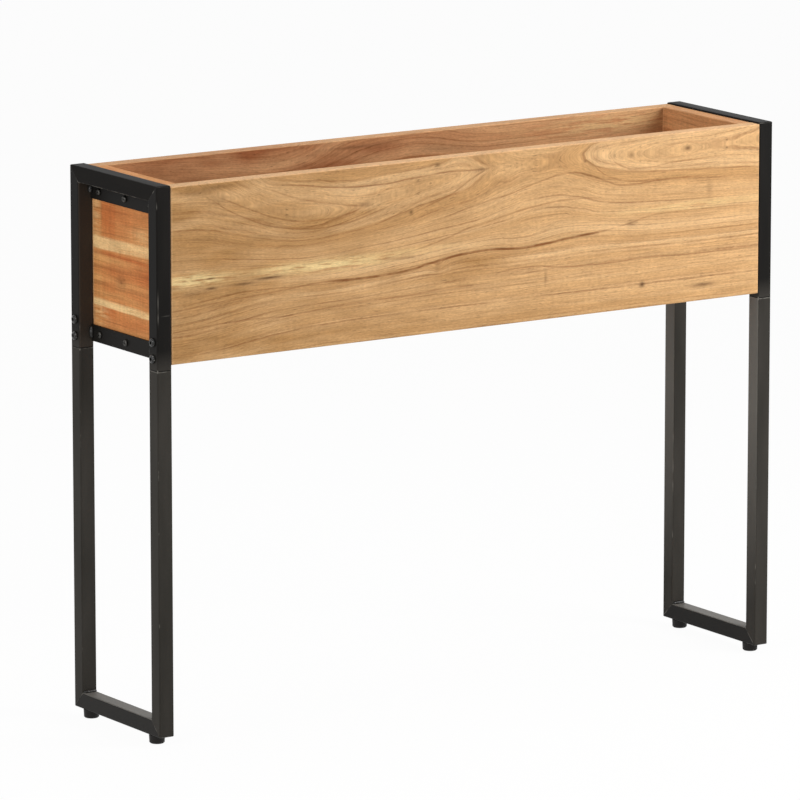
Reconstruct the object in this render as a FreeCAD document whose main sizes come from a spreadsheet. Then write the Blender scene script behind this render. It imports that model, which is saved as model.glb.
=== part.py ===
import FreeCAD, Part
import Sketcher
import math
import os

# A floor planter: a long box of solid boards, held between two end frames of
# square steel tube. X runs along the box, -Y is its front and Z is up. The
# origin is on the floor, under the middle. All sizes are in millimetres.

SIZES = [
    ("overall_length", 900, "over the two end frames"),
    ("overall_depth", 200, "over the posts, front to rear"),
    ("overall_height", 680, "floor to the top of the frames"),
    ("tube_size", 20, "square tube, outside"),
    ("tube_wall", 1.5, "square tube, wall"),
    ("tube_edge_radius", 2, "square tube, outside corners"),
    ("mitre_radius", 3, "frames' outer corners, ground round over the welded mitres"),
    ("board_thickness", 20, "all four walls of the box"),
    ("board_height", 214, "all four walls of the box"),
    ("board_reveal", 2, "how far the boards stop below the frames' top"),
    ("edge_easing", 1.5, "rounding of the boards' edges"),
    ("seam_drop", 6, "where the legs meet the posts, below the boards' lower edge"),
    ("floor_thickness", 12, "bottom board"),
    ("floor_rise", 16, "bottom board's underside above the walls' lower edge"),
    ("groove_depth", 6, "groove that holds the bottom board"),
    ("floor_play", 0.5, "room around the bottom board in its groove"),
    ("dowel_diameter", 8, "corner dowels"),
    ("dowel_in_wall", 12, "dowel's length in the front or rear board"),
    ("dowel_in_end", 28, "dowel's length in the end board"),
    ("dowel_edge", 15, "outer dowels from the groove below and the flange above"),
    ("dowel_chamfer", 1, "dowel's ends"),
    ("dowel_play", 0.1, "glue gap round a dowel and at its ends"),
    ("flange_width", 20, "flat bar across the end board"),
    ("flange_thickness", 3, "flat bar across the end board"),
    ("flange_rise", 1.5, "lower flange above the walls' lower edge"),
    ("screw_diameter", 4, "flange screws"),
    ("screw_length", 14, "flange screws, under the head"),
    ("screw_head_diameter", 8.5, "flange screws"),
    ("screw_head_height", 2.8, "flange screws"),
    ("screw_edge", 20, "outer screws from the flange's ends"),
    ("screw_play", 0.1, "round a screw in its holes and past its tip"),
    ("spigot_wall", 3, "square tube inside the seam"),
    ("spigot_play", 0.25, "on each side, inside the post and the leg"),
    ("spigot_in_post", 45, "spigot's length above the seam"),
    ("spigot_in_leg", 40, "spigot's length below the seam"),
    ("bolt_diameter", 6, "leg bolts"),
    ("bolt_length", 10, "leg bolts, under the head"),
    ("bolt_head_diameter", 11, "leg bolts"),
    ("bolt_head_height", 3.4, "leg bolts"),
    ("bolt_socket", 4, "leg bolts, across the flats of the hexagon"),
    ("bolt_socket_depth", 2, "leg bolts"),
    ("bolt_rise", 14, "lower bolt above the seam"),
    ("bolt_spacing", 20, "between a post's two bolts"),
    ("bolt_play", 0.25, "round a bolt in the post"),
    ("thread_play", 0.08, "round a thread in its tapped hole"),
    ("foot_height", 10.5, "foot base, floor to rail"),
    ("foot_diameter", 19.5, "foot base at its top"),
    ("foot_bottom_diameter", 18.5, "foot base on the floor"),
    ("foot_chamfer", 1.2, "foot base, lower edge"),
    ("foot_floor", 3.5, "foot base, plastic under the stud"),
    ("foot_inset", 23.5, "foot's middle from the end of the rail"),
    ("foot_travel", 8, "how far a foot screws out"),
    ("stud_diameter", 6, "foot stud"),
    ("stud_collar_diameter", 10, "disc that the base swivels on"),
    ("stud_collar_height", 2, "disc that the base swivels on"),
    ("stud_hole_play", 0.5, "round the stud in the rail's wall"),
    ("swivel_play", 0.08, "round the stud and its disc in the base"),
    ("nut_width", 10, "foot nut, across the flats"),
    ("nut_height", 5, "foot nut"),
]

doc = FreeCAD.newDocument("Planter")
sheet = doc.addObject("Spreadsheet::Sheet", "Sizes")
for row, (alias, size, note) in enumerate(SIZES, start=1):
    sheet.set(f"A{row}", alias)
    sheet.set(f"B{row}", str(size))
    sheet.setAlias(f"B{row}", alias)
    sheet.set(f"C{row}", note)
doc.recompute()

# Lengths that several pieces share, as formulas on the sheet.
TUBE = "Sizes.tube_size"
BOX_LENGTH = "(Sizes.overall_length - 2 * Sizes.tube_size)"
BOX_BOTTOM = "(Sizes.overall_height - Sizes.board_reveal - Sizes.board_height)"
SEAM = f"({BOX_BOTTOM} - Sizes.seam_drop)"
INNER_LENGTH = f"({BOX_LENGTH} - 2 * Sizes.board_thickness)"
INNER_DEPTH = "(Sizes.overall_depth - 2 * Sizes.board_thickness)"
FLANGE_LENGTH = "(Sizes.overall_depth - 2 * Sizes.tube_size)"
FLANGE_HEIGHTS = {
    "top": "(Sizes.overall_height - Sizes.tube_size - Sizes.flange_width)",
    "bottom": f"({BOX_BOTTOM} + Sizes.flange_rise)",
}
SPIGOT_SIZE = "(Sizes.tube_size - 2 * Sizes.tube_wall - 2 * Sizes.spigot_play)"
DOWEL_LENGTH = "(Sizes.dowel_in_wall + Sizes.dowel_in_end)"
FRAME_X = "(Sizes.overall_length / 2 - Sizes.tube_size / 2)"
FOOT_Y = "(Sizes.overall_depth / 2 - Sizes.foot_inset)"
STUD_LENGTH = ("(Sizes.foot_height - Sizes.foot_floor + Sizes.tube_wall"
               " + Sizes.nut_height + Sizes.foot_travel)")

NEGLIGIBLE = 1e-6  # lengths and positions closer than this are the same

# The four corners, by the signs of their X and Y.
SIDES = {"left": -1, "right": 1}
ENDS = {"front": -1, "rear": 1}


def value(formula):
    """The number that a formula on the sheet gives now."""
    return float(sheet.evalExpression(formula))


def new_body(label):
    """An empty body, which may hold several loose solids."""
    body = doc.addObject("PartDesign::Body", label)
    body.Label = label
    body.AllowCompound = True
    return body


def origin_feature(body, role):
    """One of a body's own base planes or axes."""
    return next(item for item in body.Origin.OriginFeatures if item.Role == role)


def new_sketch(body, plane, lift="0"):
    """A sketch on one of the body's base planes, lifted along that plane's normal."""
    sketch = body.newObject("Sketcher::SketchObject", f"{body.Label}_sketch")
    sketch.AttachmentSupport = [(origin_feature(body, plane), "")]
    sketch.MapMode = "FlatFace"
    sketch.setExpression("AttachmentOffset.Base.z", lift)
    return sketch


def fix_point(sketch, curve, end, formulas):
    """Dimensions a point of a sketch from the origin, one formula for each axis."""
    for kind, axis, formula in zip(("DistanceX", "DistanceY"), (-2, -1), formulas):
        distance = value(formula)
        if abs(distance) < NEGLIGIBLE:
            sketch.addConstraint(Sketcher.Constraint("PointOnObject", curve, end, axis))
        elif distance > 0:
            dimension = Sketcher.Constraint(kind, -1, 1, curve, end, distance)
            sketch.setExpression(f"Constraints[{sketch.addConstraint(dimension)}]", formula)
        else:
            dimension = Sketcher.Constraint(kind, curve, end, -1, 1, -distance)
            sketch.setExpression(f"Constraints[{sketch.addConstraint(dimension)}]", f"-({formula})")


def outline(body, plane, corners, lift="0"):
    """A closed outline of straight lines, through corners given as pairs of formulas."""
    sketch = new_sketch(body, plane, lift)
    points = [FreeCAD.Vector(value(across), value(up), 0) for across, up in corners]
    count = len(points)
    for index, start in enumerate(points):
        sketch.addGeometry(Part.LineSegment(start, points[(index + 1) % count]), False)
    for index, formulas in enumerate(corners):
        sketch.addConstraint(Sketcher.Constraint("Coincident", index, 2, (index + 1) % count, 1))
        fix_point(sketch, index, 1, formulas)
    return sketch


def circles(body, plane, centres, diameter, lift="0"):
    """Equal circles, with centres given as pairs of formulas."""
    sketch = new_sketch(body, plane, lift)
    for index, formulas in enumerate(centres):
        centre = FreeCAD.Vector(value(formulas[0]), value(formulas[1]), 0)
        sketch.addGeometry(Part.Circle(centre, FreeCAD.Vector(0, 0, 1), value(diameter) / 2), False)
        fix_point(sketch, index, 3, formulas)
        dimension = Sketcher.Constraint("Diameter", index, value(diameter))
        sketch.setExpression(f"Constraints[{sketch.addConstraint(dimension)}]", diameter)
    return sketch


def rectangle(width, height):
    """The four corners of a rectangle that starts at the origin."""
    return [("0", "0"), (width, "0"), (width, height), ("0", height)]


def hexagon(across_flats):
    """The six corners of a hexagon about the origin, with flats on its left and right."""
    corners = []
    for step in range(6):
        angle = f"{30 + 60 * step} deg"
        reach = f"{across_flats} / 2 / cos(30 deg)"
        corners.append((f"{reach} * cos({angle})", f"{reach} * sin({angle})"))
    return corners


def pad(body, sketch, length, symmetric=False):
    """Adds the solid that a sketch sweeps along its normal."""
    feature = body.newObject("PartDesign::Pad", f"{body.Label}_pad")
    feature.Profile = sketch
    feature.SideType = "Symmetric" if symmetric else "One side"
    feature.setExpression("Length", length)
    doc.recompute()
    return feature


def cut(body, sketch, length, symmetric=False, forwards=False):
    """Cuts a sketch into the body, against its normal or forwards along it."""
    before = body.Shape.Volume
    feature = body.newObject("PartDesign::Pocket", f"{body.Label}_cut")
    feature.Profile = sketch
    feature.SideType = "Symmetric" if symmetric else "One side"
    feature.Reversed = forwards
    feature.setExpression("Length", length)
    doc.recompute()
    if not body.Shape.Volume < before:
        raise ValueError(f"a cut in {body.Label} removes nothing")
    return feature


def round_edges(body, radius, chosen):
    """Rounds the edges of the body's last feature that the test chosen picks."""
    base = body.Tip
    names = [f"Edge{number}" for number, edge in enumerate(base.Shape.Edges, start=1) if chosen(edge)]
    feature = body.newObject("PartDesign::Fillet", f"{body.Label}_rounding")
    feature.Base = (base, names)
    feature.setExpression("Radius", radius)
    doc.recompute()
    return feature


def turned(body, corners):
    """A solid of revolution about the body's Z axis, from radius and height pairs."""
    sketch = outline(body, "XZ_Plane", corners)
    doc.recompute()
    feature = body.newObject("PartDesign::Revolution", f"{body.Label}_turning")
    feature.Profile = sketch
    feature.ReferenceAxis = (sketch, ["V_Axis"])
    feature.Angle = 360
    doc.recompute()
    return feature


def repeat(body, reach, count):
    """A row of copies of the whole body along its X axis, from its first place to reach."""
    row_of = body.newObject("PartDesign::LinearPattern", f"{body.Label}_row")
    row_of.TransformMode = "Whole shape"
    row_of.Direction = (origin_feature(body, "X_Axis"), [""])
    row_of.setExpression("Length", reach)
    row_of.Occurrences = count
    body.Tip = row_of
    doc.recompute()


def parallel(edge, axis):
    """Whether a straight edge runs along X, Y or Z of its body (axis 0, 1 or 2)."""
    if edge.Curve.TypeId != "Part::GeomLine":
        return False
    return math.isclose(abs(edge.Curve.Direction[axis]), 1, abs_tol=NEGLIGIBLE)


def ring_at(edge, radius, height):
    """Whether an edge is a circle about Z with this radius and height."""
    if edge.Curve.TypeId != "Part::GeomCircle":
        return False
    same_radius = math.isclose(edge.Curve.Radius, radius, abs_tol=NEGLIGIBLE)
    return same_radius and math.isclose(edge.Curve.Center.z, height, abs_tol=NEGLIGIBLE)


def place(body, x, y, z, x_to, y_to):
    """Stands a body at a point of formulas, with its X and Y axes turned to two directions."""
    x_axis = FreeCAD.Vector(*x_to)
    y_axis = FreeCAD.Vector(*y_to)
    turn = FreeCAD.Rotation(x_axis, y_axis, x_axis.cross(y_axis), "XYZ")
    body.Placement = FreeCAD.Placement(FreeCAD.Vector(), turn)
    for axis, formula in zip("xyz", (x, y, z)):
        body.setExpression(f"Placement.Base.{axis}", formula)


# Wooden box. A board's own X runs from its outer face inwards, its Y is up and
# its Z runs along it.
GROOVE_TOP = "(Sizes.floor_rise + Sizes.floor_thickness + Sizes.floor_play)"
DOWEL_LOW = f"({GROOVE_TOP} + Sizes.dowel_edge)"
DOWEL_HIGH = f"({FLANGE_HEIGHTS['top']} - {BOX_BOTTOM} - Sizes.dowel_edge)"
DOWEL_HEIGHTS = (DOWEL_LOW, f"({DOWEL_LOW} + {DOWEL_HIGH}) / 2", DOWEL_HIGH)
DOWEL_HOLE = "(Sizes.dowel_diameter + 2 * Sizes.dowel_play)"
SCREW_HOLE = "(Sizes.screw_diameter + 2 * Sizes.screw_play)"
SCREW_REACH = f"({FLANGE_LENGTH} / 2 - Sizes.screw_edge)"
SCREW_STEPS = (-1, 0, 1)


def wall_board(label, length, ease_ends):
    """A wall of the box: its section, with the groove for the bottom board, over its length."""
    body = new_body(label)
    thick = "Sizes.board_thickness"
    groove_back = f"{thick} - Sizes.groove_depth"
    groove_low = "Sizes.floor_rise"
    high = "Sizes.board_height"
    section = outline(body, "XY_Plane", [
        ("0", "0"), (thick, "0"), (thick, groove_low), (groove_back, groove_low),
        (groove_back, GROOVE_TOP), (thick, GROOVE_TOP), (thick, high), ("0", high)])
    pad(body, section, length)
    corners_x = (0, value(thick))
    corners_y = (0, value(high))

    def eased(edge):
        middle = edge.CenterOfMass
        on_face = any(math.isclose(middle.x, x, abs_tol=NEGLIGIBLE) for x in corners_x)
        on_edge = any(math.isclose(middle.y, y, abs_tol=NEGLIGIBLE) for y in corners_y)
        at_end = ease_ends and parallel(edge, 1) and math.isclose(middle.x, 0, abs_tol=NEGLIGIBLE)
        return at_end or (parallel(edge, 2) and on_face and on_edge)

    round_edges(body, "Sizes.edge_easing", eased)
    return body


def long_board(label, end):
    """The front or rear board, with dowel holes in its inner face behind each end board."""
    body = wall_board(label, BOX_LENGTH, ease_ends=True)
    ends = ("Sizes.board_thickness / 2", f"{BOX_LENGTH} - Sizes.board_thickness / 2")
    centres = [(height, along) for along in ends for height in DOWEL_HEIGHTS]
    holes = circles(body, "YZ_Plane", centres, DOWEL_HOLE, lift="Sizes.board_thickness")
    cut(body, holes, "Sizes.dowel_in_wall + Sizes.dowel_play")
    place(body, f"{end} * {BOX_LENGTH} / 2", f"{end} * Sizes.overall_depth / 2", BOX_BOTTOM,
          (0, -end, 0), (0, 0, 1))


def end_board(label, side):
    """An end board, with dowel holes in its ends and screw holes in its outer face."""
    body = wall_board(label, INNER_DEPTH, ease_ends=False)
    centres = [("Sizes.board_thickness / 2", height) for height in DOWEL_HEIGHTS]
    depth = "Sizes.dowel_in_end + Sizes.dowel_play"
    cut(body, circles(body, "XY_Plane", centres, DOWEL_HOLE), depth, forwards=True)
    cut(body, circles(body, "XY_Plane", centres, DOWEL_HOLE, lift=INNER_DEPTH), depth)
    screws = []
    for height in FLANGE_HEIGHTS.values():
        for step in SCREW_STEPS:
            above_edge = f"{height} + Sizes.flange_width / 2 - {BOX_BOTTOM}"
            screws.append((above_edge, f"{INNER_DEPTH} / 2 + {step} * {SCREW_REACH}"))
    holes = circles(body, "YZ_Plane", screws, SCREW_HOLE)
    cut(body, holes, "Sizes.screw_length - Sizes.flange_thickness + Sizes.screw_play", forwards=True)
    place(body, f"{side} * {BOX_LENGTH} / 2", f"{-side} * {INNER_DEPTH} / 2", BOX_BOTTOM,
          (-side, 0, 0), (0, 0, 1))


def bottom_board(label):
    """The floor of the planter, which stands in the groove round the four walls."""
    body = new_body(label)
    tongue = "2 * (Sizes.groove_depth - Sizes.floor_play)"
    length = f"({INNER_LENGTH} + {tongue})"
    depth = f"({INNER_DEPTH} + {tongue})"
    pad(body, outline(body, "XY_Plane", rectangle(length, depth)), "Sizes.floor_thickness")
    place(body, f"-{length} / 2", f"-{depth} / 2", f"{BOX_BOTTOM} + Sizes.floor_rise",
          (1, 0, 0), (0, 1, 0))


def corner_dowels(label, side, end):
    """The dowels of one corner, from the front or rear board into the end board."""
    body = new_body(label)
    radius = "Sizes.dowel_diameter / 2"
    narrow = f"{radius} - Sizes.dowel_chamfer"
    shoulder = f"{DOWEL_LENGTH} - Sizes.dowel_chamfer"
    turned(body, [("0", "0"), (narrow, "0"), (radius, "Sizes.dowel_chamfer"),
                  (radius, shoulder), (narrow, DOWEL_LENGTH), ("0", DOWEL_LENGTH)])
    repeat(body, f"{DOWEL_HIGH} - {DOWEL_LOW}", len(DOWEL_HEIGHTS))
    x = f"{side} * ({BOX_LENGTH} / 2 - Sizes.board_thickness / 2)"
    y = f"{end} * ({INNER_DEPTH} / 2 + Sizes.dowel_in_wall)"
    place(body, x, y, f"{BOX_BOTTOM} + {DOWEL_LOW}", (0, 0, 1), (-end, 0, 0))


# End frames. A tube's own X runs along it, its Y runs from its outer side to its
# inner side and its Z is 0 in its middle.
def ground_corner(body, tip, inwards, radius, size):
    """Rounds the outer corner at a tube's mitred tip; inwards is the way along X into the tube."""
    sketch = new_sketch(body, "XY_Plane")
    corners = [(tip, "0"), (f"{tip} + {inwards} * {radius}", "0"), (tip, radius)]
    corner, along, across = (FreeCAD.Vector(value(x), value(y), 0) for x, y in corners)
    circle = Part.Circle(along + across - corner, FreeCAD.Vector(0, 0, 1), value(radius))
    quarter = (math.pi, 1.5 * math.pi) if inwards > 0 else (1.5 * math.pi, 2 * math.pi)
    along_end, across_end = (2, 1) if inwards > 0 else (1, 2)
    sketch.addGeometry(Part.LineSegment(corner, along), False)
    sketch.addGeometry(Part.ArcOfCircle(circle, *quarter), False)
    sketch.addGeometry(Part.LineSegment(across, corner), False)
    for joined in ((0, 2, 1, along_end), (1, across_end, 2, 1), (2, 2, 0, 1)):
        sketch.addConstraint(Sketcher.Constraint("Coincident", *joined))
    for (curve, end), formulas in zip(((0, 1), (0, 2), (2, 1)), corners):
        fix_point(sketch, curve, end, formulas)
    dimension = Sketcher.Constraint("Radius", 1, value(radius))
    sketch.setExpression(f"Constraints[{sketch.addConstraint(dimension)}]", radius)
    cut(body, sketch, size, symmetric=True)


def tube(label, length, size, wall, radius, mitre_start=False, mitre_end=False):
    """A square tube, square at its ends or mitred at 45 degrees, longest on its outer side."""
    body = new_body(label)

    def side_view(low, high):
        def start(level):
            return level if mitre_start else "0"

        def finish(level):
            return f"{length} - ({level})" if mitre_end else length

        return [(start(low), low), (finish(low), low), (finish(high), high), (start(high), high)]

    pad(body, outline(body, "XY_Plane", side_view("0", size)), size, symmetric=True)
    round_edges(body, radius, lambda edge: parallel(edge, 0))
    if mitre_start:
        ground_corner(body, "0", 1, "Sizes.mitre_radius", size)
    if mitre_end:
        ground_corner(body, length, -1, "Sizes.mitre_radius", size)
    bore = outline(body, "XY_Plane", side_view(wall, f"{size} - {wall}"))
    cut(body, bore, f"{size} - 2 * {wall}", symmetric=True)
    return body


def frame_tube(label, length, mitre_start, mitre_end):
    """A tube of the frames' own section."""
    return tube(label, length, TUBE, "Sizes.tube_wall", "Sizes.tube_edge_radius", mitre_start, mitre_end)


def bolt_holes(body, first, across, diameter, outwards):
    """Two bolt holes in a tube's outer wall; outwards says whether that is on its +Z side."""
    centres = [(f"{first} + {step} * Sizes.bolt_spacing", across) for step in (0, 1)]
    holes = circles(body, "XY_Plane", centres, diameter)
    cut(body, holes, "Sizes.tube_size / 2", forwards=outwards)


def post(label, side, end):
    """An upper post, from the seam to the mitre under the frame's top."""
    body = frame_tube(label, f"(Sizes.overall_height - {SEAM})", False, True)
    clearance = "Sizes.bolt_diameter + 2 * Sizes.bolt_play"
    bolt_holes(body, "Sizes.bolt_rise", "Sizes.tube_size / 2", clearance, side * end > 0)
    place(body, f"{side} * {FRAME_X}", f"{end} * Sizes.overall_depth / 2", SEAM,
          (0, 0, 1), (0, -end, 0))


def leg(label, side, end):
    """A leg, from the mitre over the foot to the seam."""
    body = frame_tube(label, f"({SEAM} - Sizes.foot_height)", True, False)
    place(body, f"{side} * {FRAME_X}", f"{end} * Sizes.overall_depth / 2", "Sizes.foot_height",
          (0, 0, 1), (0, -end, 0))


def top_rail(label, side):
    """The rail along the top of an end frame."""
    body = frame_tube(label, "Sizes.overall_depth", True, True)
    place(body, f"{side} * {FRAME_X}", "-Sizes.overall_depth / 2", "Sizes.overall_height",
          (0, 1, 0), (0, 0, -1))


def bottom_rail(label, side):
    """The rail along the bottom of a leg frame, with a hole in its underside for each stud."""
    body = frame_tube(label, "Sizes.overall_depth", True, True)
    centres = [("Sizes.foot_inset", "0"), ("Sizes.overall_depth - Sizes.foot_inset", "0")]
    holes = circles(body, "XZ_Plane", centres, "Sizes.stud_diameter + 2 * Sizes.stud_hole_play")
    cut(body, holes, "Sizes.tube_size / 2")
    place(body, f"{side} * {FRAME_X}", "-Sizes.overall_depth / 2", "Sizes.foot_height",
          (0, 1, 0), (0, 0, 1))


def spigot(label, side, end):
    """The square tube that joins a leg to its post, tapped for the bolts."""
    length = "(Sizes.spigot_in_leg + Sizes.spigot_in_post)"
    body = tube(label, length, SPIGOT_SIZE, "Sizes.spigot_wall", "Sizes.tube_edge_radius")
    tapped = "Sizes.bolt_diameter + 2 * Sizes.thread_play"
    bolt_holes(body, "Sizes.spigot_in_leg + Sizes.bolt_rise", f"{SPIGOT_SIZE} / 2", tapped, side * end > 0)
    y = f"{end} * (Sizes.overall_depth / 2 - Sizes.tube_wall - Sizes.spigot_play)"
    place(body, f"{side} * {FRAME_X}", y, f"{SEAM} - Sizes.spigot_in_leg",
          (0, 0, 1), (0, -end, 0))


def flange(label, side, height):
    """A flat bar between the posts, screwed to the end board."""
    body = new_body(label)
    bar = outline(body, "XY_Plane", rectangle(FLANGE_LENGTH, "Sizes.flange_width"))
    pad(body, bar, "Sizes.flange_thickness")
    middle = "Sizes.flange_width / 2"
    centres = [(f"{FLANGE_LENGTH} / 2 + {step} * {SCREW_REACH}", middle) for step in SCREW_STEPS]
    holes = circles(body, "XY_Plane", centres, SCREW_HOLE)
    cut(body, holes, "Sizes.flange_thickness", forwards=True)
    place(body, f"{side} * {BOX_LENGTH} / 2", f"{-side} * {FLANGE_LENGTH} / 2", height,
          (0, side, 0), (0, 0, 1))


# Fasteners. A fastener's own Z runs from its tip to its head, and a row of them
# runs along its own X.
DOMED_SHARE = 0.75  # of a head's height, the rest being its straight rim


def fastener(body, diameter, length, head_diameter, head_height):
    """A turned shank with a round head, domed by rounding its upper edge."""
    radius = f"{diameter} / 2"
    head_radius = f"{head_diameter} / 2"
    top = f"{length} + {head_height}"
    turned(body, [("0", "0"), (radius, "0"), (radius, length), (head_radius, length),
                  (head_radius, top), ("0", top)])
    head_edge = value(head_radius)
    head_top = value(top)
    dome = f"{DOMED_SHARE} * {head_height}"
    round_edges(body, dome, lambda edge: ring_at(edge, head_edge, head_top))


def flange_screws(label, side, height):
    """The wood screws of one flange."""
    body = new_body(label)
    fastener(body, "Sizes.screw_diameter", "Sizes.screw_length",
             "Sizes.screw_head_diameter", "Sizes.screw_head_height")
    repeat(body, f"2 * {SCREW_REACH}", len(SCREW_STEPS))
    tip = f"{side} * ({BOX_LENGTH} / 2 + Sizes.flange_thickness - Sizes.screw_length)"
    place(body, tip, f"{-side} * {SCREW_REACH}", f"{height} + Sizes.flange_width / 2",
          (0, side, 0), (0, 0, 1))


def leg_bolts(label, side, end):
    """The two bolts that hold a post to its spigot, each with a hexagon socket."""
    body = new_body(label)
    fastener(body, "Sizes.bolt_diameter", "Sizes.bolt_length",
             "Sizes.bolt_head_diameter", "Sizes.bolt_head_height")
    head_top = "Sizes.bolt_length + Sizes.bolt_head_height"
    socket = outline(body, "XY_Plane", hexagon("Sizes.bolt_socket"), lift=head_top)
    cut(body, socket, "Sizes.bolt_socket_depth")
    repeat(body, "Sizes.bolt_spacing", 2)
    tip = f"{side} * (Sizes.overall_length / 2 - Sizes.bolt_length)"
    y = f"{end} * (Sizes.overall_depth / 2 - Sizes.tube_size / 2)"
    place(body, tip, y, f"{SEAM} + Sizes.bolt_rise", (0, 0, 1), (0, -side, 0))


# Levelling feet. The plastic base swivels on the disc of a threaded stud, which
# screws into a nut welded inside the bottom rail.
def foot_base(label, x, y):
    """The round base, hollow inside for the stud and its disc."""
    body = new_body(label)
    disc = "Sizes.stud_collar_diameter / 2 + Sizes.swivel_play"
    neck = "Sizes.stud_diameter / 2 + Sizes.swivel_play"
    disc_top = "Sizes.foot_floor + Sizes.stud_collar_height + Sizes.swivel_play"
    bottom = "Sizes.foot_bottom_diameter / 2"
    top = "Sizes.foot_diameter / 2"
    high = "Sizes.foot_height"
    narrow = f"{bottom} - Sizes.foot_chamfer"
    turned(body, [("0", "0"), (narrow, "0"), (bottom, "Sizes.foot_chamfer"), (top, high), (neck, high),
                  (neck, disc_top), (disc, disc_top), (disc, "Sizes.foot_floor"), ("0", "Sizes.foot_floor")])
    place(body, x, y, "0", (1, 0, 0), (0, 1, 0))


def foot_stud(label, x, y):
    """The stud, long enough to fill its nut over the whole travel."""
    body = new_body(label)
    disc = "Sizes.stud_collar_diameter / 2"
    disc_top = "Sizes.stud_collar_height"
    shank = "Sizes.stud_diameter / 2"
    turned(body, [("0", "0"), (disc, "0"), (disc, disc_top), (shank, disc_top),
                  (shank, STUD_LENGTH), ("0", STUD_LENGTH)])
    place(body, x, y, "Sizes.foot_floor", (1, 0, 0), (0, 1, 0))


def foot_nut(label, x, y):
    """The hexagon nut on the inside of the rail's lower wall."""
    body = new_body(label)
    pad(body, outline(body, "XY_Plane", hexagon("Sizes.nut_width")), "Sizes.nut_height")
    thread = circles(body, "XY_Plane", [("0", "0")], "Sizes.stud_diameter + 2 * Sizes.thread_play")
    cut(body, thread, "Sizes.nut_height", forwards=True)
    place(body, x, y, "Sizes.foot_height + Sizes.tube_wall", (1, 0, 0), (0, 1, 0))


bottom_board("bottom_board")
for end_name, end in ENDS.items():
    long_board(f"{end_name}_board", end)

for side_name, side in SIDES.items():
    end_board(f"{side_name}_end_board", side)
    top_rail(f"{side_name}_top_rail", side)
    bottom_rail(f"{side_name}_bottom_rail", side)
    for level, height in FLANGE_HEIGHTS.items():
        flange(f"{side_name}_{level}_flange", side, height)
        flange_screws(f"{side_name}_{level}_flange_screws", side, height)
    for end_name, end in ENDS.items():
        corner = f"{end_name}_{side_name}"
        corner_dowels(f"{corner}_dowels", side, end)
        post(f"{corner}_post", side, end)
        leg(f"{corner}_leg", side, end)
        spigot(f"{corner}_spigot", side, end)
        leg_bolts(f"{corner}_leg_bolts", side, end)
        foot_at = (f"{side} * {FRAME_X}", f"{end} * {FOOT_Y}")
        foot_base(f"{corner}_foot_base", *foot_at)
        foot_stud(f"{corner}_foot_stud", *foot_at)
        foot_nut(f"{corner}_foot_nut", *foot_at)

doc.recompute()

failed = [item.Label for item in doc.Objects if {"Invalid", "Error"} & set(item.State)]
if failed:
    raise RuntimeError(f"not computed: {failed}")

bodies = [item for item in doc.Objects if item.TypeId == "PartDesign::Body"]
for body in bodies:
    if body.Shape.isNull() or not body.Shape.isValid():
        raise RuntimeError(f"no valid shape: {body.Label}")

os.makedirs("parts", exist_ok=True)
for body in bodies:
    body.Shape.exportStep(f"parts/{body.Label}.step")
    print(f"{body.Label}: {len(body.Shape.Solids)} solid(s), {body.Shape.Volume:.0f} mm3")
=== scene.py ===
# %% [markdown]
# # A wooden planter on two steel end frames
# The real planter is a long open box of solid acacia boards. It hangs between two end frames of black
# square tube, on four screw-in feet. The CAD model already holds every board, tube, bolt and foot in its
# place, so this lesson keeps those solids, gives them their finishes, and models the small things that
# make the object look made: weld beads, cross-head screws and threaded studs. Their places are read from
# the CAD nodes' own boxes, so that nothing drifts away from the model.

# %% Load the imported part
import math
import bmesh
import bpy
from mathutils import Matrix, Vector, noise


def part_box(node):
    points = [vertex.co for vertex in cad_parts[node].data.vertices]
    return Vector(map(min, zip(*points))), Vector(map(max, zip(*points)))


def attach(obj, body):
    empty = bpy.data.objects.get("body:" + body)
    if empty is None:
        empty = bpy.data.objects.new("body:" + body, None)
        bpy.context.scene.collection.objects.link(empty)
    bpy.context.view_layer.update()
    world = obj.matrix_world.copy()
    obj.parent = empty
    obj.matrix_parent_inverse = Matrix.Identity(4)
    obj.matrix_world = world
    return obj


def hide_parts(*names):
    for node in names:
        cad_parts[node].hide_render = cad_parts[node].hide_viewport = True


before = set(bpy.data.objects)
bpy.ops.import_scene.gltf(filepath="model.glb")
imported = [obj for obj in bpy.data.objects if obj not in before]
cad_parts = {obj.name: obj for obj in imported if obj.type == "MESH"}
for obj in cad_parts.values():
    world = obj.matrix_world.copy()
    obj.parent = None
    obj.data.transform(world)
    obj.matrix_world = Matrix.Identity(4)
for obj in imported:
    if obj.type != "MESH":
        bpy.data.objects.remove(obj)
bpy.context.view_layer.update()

MM = 0.001


def box(node):
    """The lowest and the highest corner of a CAD node, in millimetres to a hundredth."""
    return [[round(place / MM, 2) for place in corner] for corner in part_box(node)]


def centre(node):
    """The middle of a CAD node's box, in millimetres."""
    return [(low + high) / 2 for low, high in zip(*box(node))]


# %% [markdown]
# Three small helpers serve every finish. Colours are written as the sRGB hex values that a colour picker
# shows, and Blender's sockets want linear light, so one function converts them. The next adds one node with
# its settings and links, which keeps a material close to a recipe that reads from top to bottom. The last
# starts a material on Object coordinates, in millimetres, so that a pattern's scale is a real size.

# %% Helpers for colours and nodes


def linear(hex_colour):
    """An sRGB hex colour as linear red, green, blue and alpha."""
    channels = [int(hex_colour[i:i + 2], 16) / 255 for i in (1, 3, 5)]
    return [c / 12.92 if c <= 0.04045 else ((c + 0.055) / 1.055) ** 2.4 for c in channels] + [1.0]


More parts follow.
